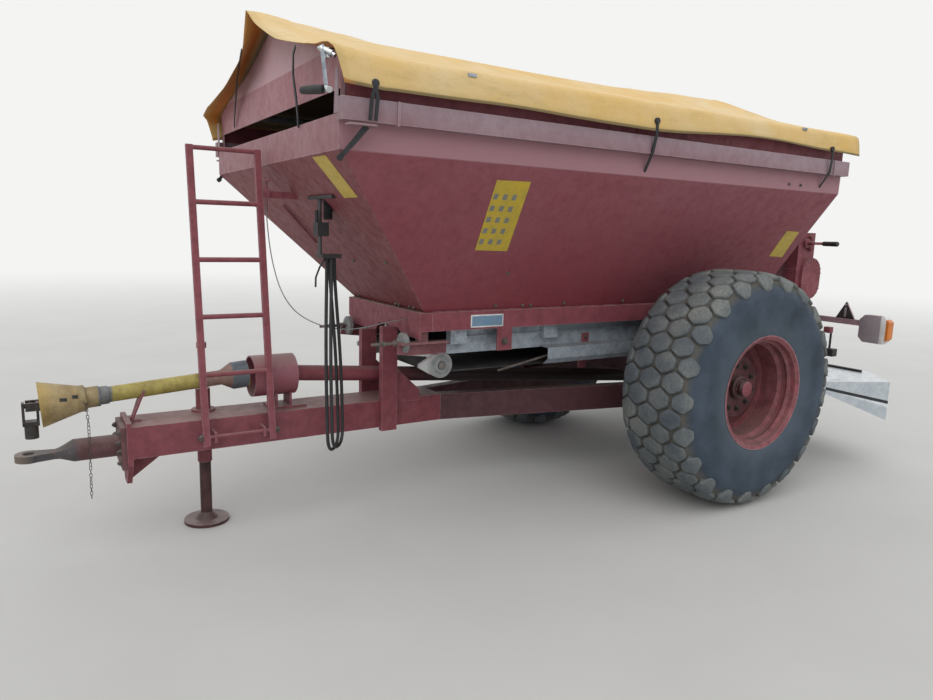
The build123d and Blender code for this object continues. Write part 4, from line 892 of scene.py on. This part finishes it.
eyelets.finish("coverEyelets", galvanised, "pale_steel")
print("cover draped")

# Chain on the shaft guard
chainLook = {"wire": 0.0032, "long": 0.0235, "wide": 0.0145, "step": 0.0180, "length": 0.486,
             "diameter": 0.010, "bends": 16}
chainRoute = ((3.5688, 0.071, 0.777), (3.562, 0.071, 0.700), (3.561, 0.072, 0.620), (3.563, 0.072, 0.540),
              (3.563, 0.073, 0.460), (3.565, 0.073, 0.380), (3.566, 0.072, 0.292))


def linkTree():
    # links along a curve, each turned a quarter from the last
    tree, given, result = newTree("ChainLinks", (("Path", "Object"), ("Link", "Object"), ("Step", "Float")))
    path = addNode(tree, "GeometryNodeObjectInfo", {"Object": given["Path"]})
    even = addNode(tree, "GeometryNodeResampleCurve",
                   {"Curve": path.outputs["Geometry"], "Length": given["Step"]}, mode="LENGTH")
    tangent = addNode(tree, "GeometryNodeInputTangent").outputs[0]
    turn = addNode(tree, "FunctionNodeAlignRotationToVector", {"Vector": tangent}, axis="Z")
    quarter = maths(tree, "MULTIPLY", addNode(tree, "GeometryNodeInputIndex").outputs[0], math.pi / 2)
    spin = addNode(tree, "ShaderNodeCombineXYZ", {2: quarter})
    spun = addNode(tree, "FunctionNodeRotateRotation", {0: turn.outputs[0], 1: spin.outputs[0]},
                   rotation_space="LOCAL")
    return layPieces(tree, result, given["Link"], chainSteel,
                     {"Points": even.outputs[0], "Rotation": spun.outputs[0]})


route = routeCurve("chainRoute", [at(*p) for p in chainRoute], chainSteel, 0.0)
ring = Shape()
straight = chainLook["long"] / 2 - chainLook["wide"] / 2
bend = chainLook["wide"] / 2 - chainLook["wire"] / 2
loop = []
for k in range(chainLook["bends"]):
    angle = 2 * math.pi * k / chainLook["bends"]
    loop.append(Vector((bend * math.sin(angle), 0,
                        bend * math.cos(angle) + math.copysign(straight, math.cos(angle)))))
rings = []
for k, middle in enumerate(loop):
    along = (loop[(k + 1) % len(loop)] - loop[k - 1]).normalized()
    side = Vector((0, 1, 0))
    rings.append(ringAround(ring.mesh, middle, side, along.cross(side), chainLook["wire"] / 2, 8))
skin(ring.mesh, rings[-1:] + rings)
linkMesh = bpy.data.meshes.new("ChainLink")
bmesh.ops.recalc_face_normals(ring.mesh, faces=ring.mesh.faces)
ring.mesh.to_mesh(linkMesh)
ring.mesh.free()
link = linked("ChainLink", linkMesh)
chainMesh = treeMesh("guardChainLinks", linkTree(), {"Path": route, "Link": link, "Step": chainLook["step"]})
chain = linkPiece("guardChainLinks", chainMesh, chainSteel, "pto_shaft")
bpy.data.objects.remove(link)
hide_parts("guard_chain")
bpy.context.view_layer.update()
routed = bpy.data.meshes.new_from_object(route.evaluated_get(bpy.context.evaluated_depsgraph_get()))
path = [vert.co.copy() for vert in routed.vertices]
path[0] += (path[0] - path[1]).normalized() * chainLook["long"] / 2      # the end links reach past the line
path[-1] += (path[-1] - path[-2]).normalized() * chainLook["long"] / 2
path = [tuple(point) for point in path]
bpy.data.objects.remove(route)
print("chain hung")

# Straps, crank and fittings on the hopper
outward = {"side": Vector((0, 0.8058, -0.5921)), "wall": Vector((0.7294, 0, -0.6841))}


def onSide(x, z, lift=0.0):
    # a place on the hopper's near side plate, or just outside it
    return at(x, 0.479 + (z - 1.205) * 0.568 / 0.773, z) + outward["side"] * lift


def onWall(y, z, lift=0.0):
    return at(1.920 + (z - 1.205) * 0.725 / 0.773, y, z) + outward["wall"] * lift


strapLook = {"thick": 0.005, "head": 0.017}
straps = Shape()
for widths, points in (
        ((0.012, 0.016, 0.024, 0.026, 0.018, 0.014),
         ((2.741, 0.800, 2.412), (2.728, 0.730, 2.400), (2.702, 0.645, 2.330),
          (2.682, 0.620, 2.240), (2.662, 0.585, 2.160), (2.652, 0.560, 2.112))),
        ((0.012, 0.014, 0.020, 0.024, 0.018, 0.014),
         ((2.742, -0.06, 2.560), (2.720, -0.20, 2.515), (2.684, -0.40, 2.446),
          (2.655, -0.55, 2.372), (2.640, -0.64, 2.300), (2.630, -0.690, 2.246)))):
    straps.strip([at(*p) for p in points], widths, strapLook["thick"], (1, 0, 0))


def strapHead(x, side, z):
    straps.rod(at(x, side * 1.126, z), at(x, side * 1.140, z), strapLook["head"], sides=24, bevel=0.003)


for side in (1, -1):
    start = at(2.521, side * 1.137, 2.240)
    for shift in (-0.012, 0.014):
        straps.strip([start, at(2.521 + shift, side * 1.132, 2.18), at(2.521 + shift, side * 1.114, 2.095)],
                     (0.012, 0.016, 0.013), strapLook["thick"], (0, side, 0))
    strapHead(2.521, side, 2.240)
    for points in (((0.901, 1.137, 2.258), (0.896, 1.130, 2.19), (0.891, 1.104, 2.100),
                    (0.879, 1.030, 1.975)),
                   ((-0.693, 1.137, 2.245), (-0.708, 1.130, 2.19), (-0.723, 1.112, 2.100),
                    (-0.731, 1.030, 1.985))):
        straps.strip([at(x, side * y, z) for x, y, z in points], (0.013, 0.020, 0.020, 0.013),
                     strapLook["thick"], (0, side, 0.3))
        strapHead(points[0][0], side, points[0][2])
straps.finish("stretchStraps", strapRubber, "belt_rubber")

chromed = Shape()
chromed.rod(at(2.738, 1.095, 2.350), at(2.704, 1.128, 2.328), 0.014, sides=24, bevel=0.002)
chromed.rod(at(2.704, 1.128, 2.328), at(2.696, 1.138, 2.320), 0.009, sides=16)
chromed.box(at(2.712, 1.100, 2.312), at(2.726, 1.122, 2.352), bevel=0.003)
chromed.rod(at(2.736, 1.150, 2.193), at(2.736, 1.182, 2.182), 0.013, bevel=0.003)
chromed.nut(at(2.740, 1.094, 2.350), (1, 0.1, 0), 0.008)
chromed.finish("coverCrankKnuckle", chrome, "bare_steel")
arm = Shape()
arm.plate([at(2.733, 1.082, 2.362), at(2.733, 1.112, 2.362), at(2.733, 1.164, 2.182),
           at(2.733, 1.136, 2.178)], 0.006, (1, 0, 0), bevel=0.001)
arm.finish("coverCrankArm", galvanised, "pale_steel")
grip = Shape()
grip.turned([(0.0, 0.012), (0.004, 0.017), (0.03, 0.0185), (0.085, 0.0175), (0.118, 0.0155), (0.124, 0.010)],
            at(2.742, 1.132, 2.190), (0.42, -0.90, 0.04), sides=32)
grip.finish("coverCrankGrip", blackPlastic, "guard_plastic")

# pale plate, strut and end plate at the front corner; the capping boards under the hems are a guess
corner = Shape()
for side in (1, -1):
    corner.box(at(2.516, side * 1.123 - 0.023, 2.0685), at(2.640, side * 1.123 + 0.023, 2.076), bevel=0.002)
    corner.plate([at(2.6455, side * y, z) for y, z in
                  ((1.002, 2.124), (1.047, 2.124), (1.047, 2.30), (1.020, 2.30))], 0.004, (1, 0, 0))
corner.finish("cornerPlates", railPaint, "pink_paint")
strut = Shape()
for side in (1, -1):
    strut.strip([at(x, side * y, z) for x, y, z in
                 ((2.552, 1.122, 2.070), (2.600, 1.090, 2.002), (2.643, 1.058, 1.944))],
                (0.026, 0.022, 0.018), 0.006, (0, side, 0.4))
    strut.rod(at(2.640, side * 1.052, 1.948), at(2.648, side * 1.068, 1.940), 0.014, bevel=0.002)
strut.finish("cornerStrut", strapRubber, "belt_rubber")
capping = Shape()
for side in (1, -1):
    capping.box(at(-0.944, side * 1.0545 - 0.0015, 2.1842), at(2.614, side * 1.0545 + 0.0015, 2.292))
capping.finish("cappingStrips", framePaint, "red_paint")

# stickers and plates carry no print: only plain fields
film = Shape()
for corners in ((onWall(0.706, 1.969), onWall(0.866, 1.966), onWall(0.848, 1.795), onWall(0.690, 1.795)),
                (onSide(-0.708, 1.721), onSide(-0.850, 1.718), onSide(-0.879, 1.538), onSide(-0.721, 1.544)),
                (onSide(1.813, 1.905), onSide(1.609, 1.908), onSide(1.558, 1.557), onSide(1.765, 1.560))):
    normal = (corners[1] - corners[0]).cross(corners[2] - corners[1]).normalized()
    normal = normal if normal.z < 0 else -normal
    film.plate([c + normal * 0.0004 for c in corners], 0.0009, normal)
film.finish("yellowFilms", stickerYellow, "yellow_tarp")
squares = Shape()
for row in range(5):
    for column in range(3):
        share = 0.22 + row * 0.16
        middleX = 1.711 - 0.048 * (share - 0.5) + (column - 1) * 0.056
        z = 1.907 - 0.350 * share
        squares.plate([onSide(middleX + dx, z + dz, 0.0012) for dx, dz in
                       ((-0.013, 0.013), (0.013, 0.013), (0.011, -0.013), (-0.015, -0.013))],
                      0.0006, outward["side"])
squares.finish("stickerSquares", stickerGrey, "yellow_tarp")
for name, material, low, high, bevel in (
        ("blankPlateBorder", lampWhite, (1.399, 0.4995, 1.110), (1.625, 0.5022, 1.184), 0.0008),
        ("blankPlate", bluePlate, (1.407, 0.5018, 1.118), (1.617, 0.5030, 1.176), 0.0005)):
    Shape().box(at(*low), at(*high), bevel=bevel).finish(name, material, "pale_steel")

# hopper bolts, each standing off its sheet
hopperBolts = Shape()
for x, z in ((1.461, 1.236), (1.262, 1.230), (1.203, 1.230), (0.945, 1.236), (0.450, 1.236), (1.481, 1.432),
             (-0.150, 1.236), (-0.600, 1.236), (-0.40, 2.012), (-0.52, 2.012)):
    place = onSide(x, z) if z < 1.97 else at(x, 1.047, z)
    hopperBolts.nut(place, outward["side"] if z < 1.97 else (0, 1, 0), 0.009)
for y, z in ((0.092, 1.474), (0.543, 1.487), (0.40, 1.228), (0.35, 1.228), (0.22, 1.228), (0.18, 1.228),
             (-0.36, 1.228)):
    hopperBolts.nut(onWall(y, z), outward["wall"], 0.009)
hopperBolts.finish("hopperBolts", boltSteel, "bare_steel")
lipPin = Shape()
lipPin.rod(at(2.651, -0.022, 1.888), at(2.651, 0.086, 1.892), 0.008, sides=16, bevel=0.001)
lipPin.rod(at(2.651, 0.032, 1.890), at(2.653, 0.032, 1.730), 0.0065, sides=14)
lipPin.box(at(2.634, 0.014, 1.810), at(2.650, 0.050, 1.845), bevel=0.002)
lipPin.rod(onWall(-0.264, 1.783, 0.010), onWall(-0.260, 1.564, 0.010), 0.007, sides=14)
lipPin.finish("lipPin", framePaint, "red_paint")
print("hopper fittings made")

# Valve on its hanger: bellows over a pale body
bellows = Shape()
profile = []
for k in range(9):
    profile += [(k * 0.0125, 0.019), (k * 0.0125 + 0.006, 0.026)]
bellows.turned(profile + [(0.113, 0.016)], at(2.447, 0.405, 1.694), (0, 0, 1), sides=32)
bellows.bar([at(*p) for p in ((2.431, 0.405, 1.520), (2.462, 0.405, 1.500), (2.492, 0.402, 1.452),
                              (2.512, 0.400, 1.400), (2.513, 0.398, 1.350))], 0.005, sides=14)
bellows.finish("valveBellows", strapRubber, "belt_rubber")

# Frame fittings
frameNuts = Shape()
for y in (-0.088, 0.088):
    for z in (0.452, 0.508, 0.556, 0.608):
        frameNuts.nut(at(3.425, y, z), (1, 0, 0), 0.014)
frameNuts.nut(at(1.385, 0.500, 1.020), (0, 1, 0), 0.018)
frameNuts.nut(at(0.674, 0.4065, 0.992), (0, 1, 0), 0.014)
frameNuts.rod(at(1.380, 0.435, 0.828), at(0.960, 0.435, 0.905), 0.007, sides=12)
frameNuts.nut(at(3.370, 0.044, 0.635), (0, 0, 1), 0.013)
frameNuts.finish("frameNuts", rustySteel, "rusty_steel")
hinges = Shape()
for x, way in ((3.052, 1), (2.672, -1)):
    hinges.nut(at(x, 0.195, 0.560), (way, 0, 0), 0.017)
hinges.finish("ladderNuts", rustySteel, "rusty_steel", "ladder")
ledge = Shape()
ledge.box(at(1.9222, -0.478, 1.2048), at(1.9535, 0.478, 1.2072), bevel=0.001)
for k in range(26):
    y = 0.46 * math.sin(7.3 * k + 1.0)
    ledge.box(at(1.926, y - 0.006, 1.2068), at(1.940, y + 0.007, 1.2102), bevel=0.0012,
              turn=Matrix.Rotation(k, 4, "Z"))
ledge.finish("ledgeDust", plantDust, "pale_steel")
pads = Shape()
pads.box(at(0.644, 0.4062, 0.962), at(0.704, 0.4120, 1.022), bevel=0.001)
pads.box(at(0.60, 0.330, 0.775), at(0.66, 0.345, 0.825), bevel=0.001)
pads.finish("redPads", framePaint, "red_paint")

# bearing faces on the rollers' ends, and the screws that tighten the belt
bearingLook = {"rollerX": (1.793, -1.250), "rollerZ": 0.897, "faceY": 0.4622, "rivetCircle": 0.051,
               "screwY": 0.396, "screwZ": 1.029}
faceY, rollerZ, screwY, screwZ = (bearingLook[k] for k in ("faceY", "rollerZ", "screwY", "screwZ"))
for side in (1, -1):
    dished = Shape()
    for x in bearingLook["rollerX"]:
        dished.turned([(0.0, 0.070), (0.005, 0.068), (0.005, 0.060), (0.0015, 0.056), (0.0015, 0.046),
                       (0.007, 0.042), (0.007, 0.026), (0.002, 0.024), (0.002, 0.0)],
                      at(x, side * faceY, rollerZ), (0, side, 0))
        for k in range(20):
            turn = 2 * math.pi * k / 20
            rivetX = x + bearingLook["rivetCircle"] * math.cos(turn)
            rivetZ = rollerZ + bearingLook["rivetCircle"] * math.sin(turn)
            dished.rod(at(rivetX, side * faceY, rivetZ), at(rivetX, side * 0.4662, rivetZ), 0.0035, sides=10)
    dished.turned([(0.0, 0.0), (0.0, 0.0585), (0.022, 0.0585), (0.028, 0.050), (0.028, 0.0)],
                  at(1.992, side * screwY, screwZ), (1, 0, 0))
    dished.finish("bearingFaces_" + sideNames[side], castGrey, "cast_grey")
    dark = Shape()
    for x in bearingLook["rollerX"]:
        dark.rod(at(x, side * 0.463, rollerZ), at(x, side * 0.4765, rollerZ), 0.0215, sides=24, bevel=0.002)
    dark.rod(at(2.010, side * screwY, screwZ), at(2.196, side * screwY, screwZ), 0.0095)
    for x in (2.045, 2.118):
        dark.rod(at(x, side * screwY, screwZ), at(x + 0.016, side * screwY, screwZ), 0.019, sides=6,
                 bevel=0.0015)
    dark.finish("adjusters_" + sideNames[side], boltSteel, "rusty_steel")

# Slots in the cone of the shaft guard
slots = Shape()
for x, turn, reach, long in ((3.663, 0.30, 0.083, 0.017), (3.612, 0.40, 0.070, 0.013)):
    out = Vector((0, math.cos(turn), math.sin(turn)))
    middle = at(x, 0, 0.842 - 0.075 * (x - 2.790)) + out * reach
    slots.box(middle - Vector((long, 0.003, 0.009)), middle + Vector((long, 0.003, 0.009)), bevel=0.0025,
              turn=Matrix.Rotation(turn, 4, "X") @ Matrix.Rotation(0.262, 4, "Z"))
slots.finish("guardSlots", blackPlastic, "guard_plastic", "pto_shaft")

# Rear: bolts round the oval cover, crank, lamps and the spread hood's edge strips
ovalBolts = Shape()
for k in range(18):
    turn = 2 * math.pi * k / 18
    x = -1.318 + 0.103 * math.cos(turn)
    z = 1.375 + 0.103 * math.sin(turn) + (0.041 if math.sin(turn) > 0 else -0.041)
    ovalBolts.nut(at(x, 0.686, z), (0, 1, 0), 0.007)
for z in (1.600, 1.680):
    ovalBolts.rod(at(-1.290, 0.655, z), at(-1.290, 0.690, z), 0.020, sides=24, bevel=0.003)
ovalBolts.nut(at(-1.240, 0.686, 1.640), (0, 1, 0), 0.013)
ovalBolts.finish("rearCoverBolts", framePaint, "red_paint")
sidePlate = Shape()         # a guess: a dark plate that stands in for the shade in the gap here, painted shade; what stands here on the real machine isn't known
sidePlate.box(at(-1.1648, 0.5605, 1.340), at(-0.930, 0.5655, 1.600), bevel=0.001)
sidePlate.finish("rearSidePlate", darkPaint, "red_paint")
rearGrip = Shape()
rearGrip.turned([(0.0, 0.010), (0.004, 0.0175), (0.112, 0.0185), (0.119, 0.012)], at(-1.335, 0.744, 1.640),
                (0, 1, 0), sides=28)
rearGrip.finish("gateCrankGrip", blackPlastic, "guard_plastic")

# lamp pieces as outlines of (y, z) seen from ahead, given their thickness backwards or forwards
lampPlates = (
    ("lampBezel", lampWhite, -1.283, -0.062, 0.004, "pale_steel",
     ((1.262, 0.956), (1.281, 0.956), (1.304, 0.979), (1.304, 1.131), (1.281, 1.154), (1.262, 1.154))),
    ("lampSideLens", lampOrange, -1.282, -0.066, 0.005, "guard_plastic",
     ((1.300, 0.975), (1.322, 0.997), (1.322, 1.113), (1.300, 1.135))),
    ("lampRearLens", lampRed, -1.324, -0.026, 0.006, "guard_plastic",
     ((1.140, 0.985), (1.296, 0.985), (1.296, 1.125), (1.140, 1.125))),
    ("lampBack", lampBack, -1.2846, 0.005, 0.001, "pale_steel",
     ((1.150, 1.152), (1.256, 1.152), (1.262, 1.146), (1.262, 0.964), (1.256, 0.958), (1.150, 0.958),
      (1.116, 0.992), (1.116, 1.118))),
    ("triangleBack", blackPlastic, -1.2935, 0.004, 0.001, "guard_plastic",
     ((0.931, 1.1085), (1.069, 1.1085), (1.0, 1.2295))),
)
for side in (1, -1):
    for name, material, x, depth, bevel, slotName, outline in lampPlates:
        piece = Shape().plate([at(x, side * y, z) for y, z in outline], depth, (1, 0, 0), bevel=bevel)
        piece.finish(name + "_" + sideNames[side], material, slotName)
    warning = Shape()
    warning.box(at(-1.2895, side - 0.008, 1.120), at(-1.2875, side + 0.008, 1.190), bevel=0.0008)
    warning.nut(at(-1.2895, side, 1.206), (1, 0, 0), 0.006)
    warning.finish("triangleStrip_" + sideNames[side], lampBack, "pale_steel")
    small = Shape()
    small.box(at(-1.325, side * 0.88 - 0.025, 0.985), at(-1.280, side * 0.88 + 0.025, 1.030), bevel=0.003)
    small.finish("barBox_" + sideNames[side], framePaint, "red_paint")
    small = Shape()
    small.box(at(-1.330, side * 0.915 - 0.035, 0.815), at(-1.270, side * 0.915 + 0.035, 0.872), bevel=0.003)
    small.rod(at(-1.300, side * 0.905, 0.872), at(-1.300, side * 0.905, 0.985), 0.008, sides=14)
    small.finish("barBracket_" + sideNames[side], blackEnamel, "rusty_steel")
rail = Shape().rod(at(-1.730, -0.930, 0.6655), at(-1.730, 0.930, 0.6655), 0.011, sides=16)
rail.finish("hoodRail", blackEnamel, "rusty_steel")
for side in (1, -1):
    front, back = at(-1.10, side * 1.0312, 0), at(-1.536, side * 1.2492, 0)
    outwards = Vector((-0.447, side * 0.894, 0))
    for name, material, slotName, lows, highs, lift, thick in (
            ("hoodRubber_", strapRubber, "belt_rubber", (0.597, 0.497), (0.617, 0.518), 0.001, 0.004),
            ("hoodFlap_", whiteSheet, "stainless", (0.588, 0.462), (0.595, 0.495), 0.0015, 0.0015)):
        corners = [front + Vector((0, 0, lows[0])), back + Vector((0, 0, lows[1])),
                   back + Vector((0, 0, highs[1])), front + Vector((0, 0, highs[0]))]
        strip = Shape().plate([c + outwards * lift for c in corners], thick, outwards)
        strip.finish(name + sideNames[side], material, slotName)
print("rear fittings made")

# Wheel nuts and hub cap on each wheel
for side, name in sideNames.items():
    wheelNuts = Shape()
    for k in range(wheelLook["nuts"]):
        turn = 2 * math.pi * (k + 0.3) / wheelLook["nuts"]
        nutX, nutZ = wheelLook["nutCircle"] * math.cos(turn), wheelLook["nutCircle"] * math.sin(turn)
        wheelNuts.nut(at(nutX, side * 1.099, axleZ + nutZ), (0, side, 0), 0.016)
    wheelNuts.finish("wheelNuts_" + name, greasySteel, "rusty_steel", "wheel_" + name)
    cap = Shape()
    cap.turned([(0.1375, 0.047), (0.1400, 0.0462), (0.1445, 0.0300), (0.1460, 0.0)],
               at(0, side * wheelLook["axleY"], axleZ), (0, side, 0), sides=40)
    cap.finish("hubCap_" + name, brightPaint, "red_paint", "wheel_" + name)
print("wheel fittings made")

# Finishes on the CAD nodes
nodeFinishes = (
    (hopperPaint, ("hopper_side_left", "hopper_side_right", "hopper_rear_wall")),
    (frontPaintInShade, ("hopper_front_wall",)),
    (bandPaint, ("hopper_lip",)),
    (railPaint, ("top_rails", "lamp_bars")),
    (gablePaint, ("gables",)),
    (framePaint, ("frame_rails", "frame_front_member", "drawbar_beam", "front_posts", "ladder",
                  "ladder_stay", "jack_sleeve", "crank_housing", "chain_case", "metering_door")),
    (shaftPaintShaded, ("drive_tube",)),
    (darkPaint, ("chassis_rails", "rear_posts", "axle_beam", "spinner_frame")),
    (rimPaint, ("rim_left", "rim_right")),
    (brightPaint, ("coupling_can",)),
    (greasyPaint, ("hub_left", "hub_right", "jack_leg", "spinner_gearbox")),
    (eyeSteel, ("towing_eye",)),
    (greasySteel, ("pto_yoke", "pto_stub")),
    (galvanised, ("belt_troughs", "discharge_box", "cover_poles")),
    (stainless, ("spinner_hood", "spinner_left", "spinner_right")),
    (wornSteel, ("belt_rollers",)),
    (castPaint, ("roller_brackets",)),
    (beltRubber, ("floor_belt",)),
    (guardPlastic, ("pto_guard",)),
    (blackEnamel, ("valve_hanger",)),
)
finished = set()
for material, names in nodeFinishes:
    for name in names:
        node = cadNodes[name]
        for k in range(max(1, len(node.material_slots))):
            if node.material_slots:
                node.material_slots[k].material = material
            else:
                node.data.materials.append(material)
        finished.add(name)
print("nodes without a finish:", sorted(set(cadNodes) - finished))
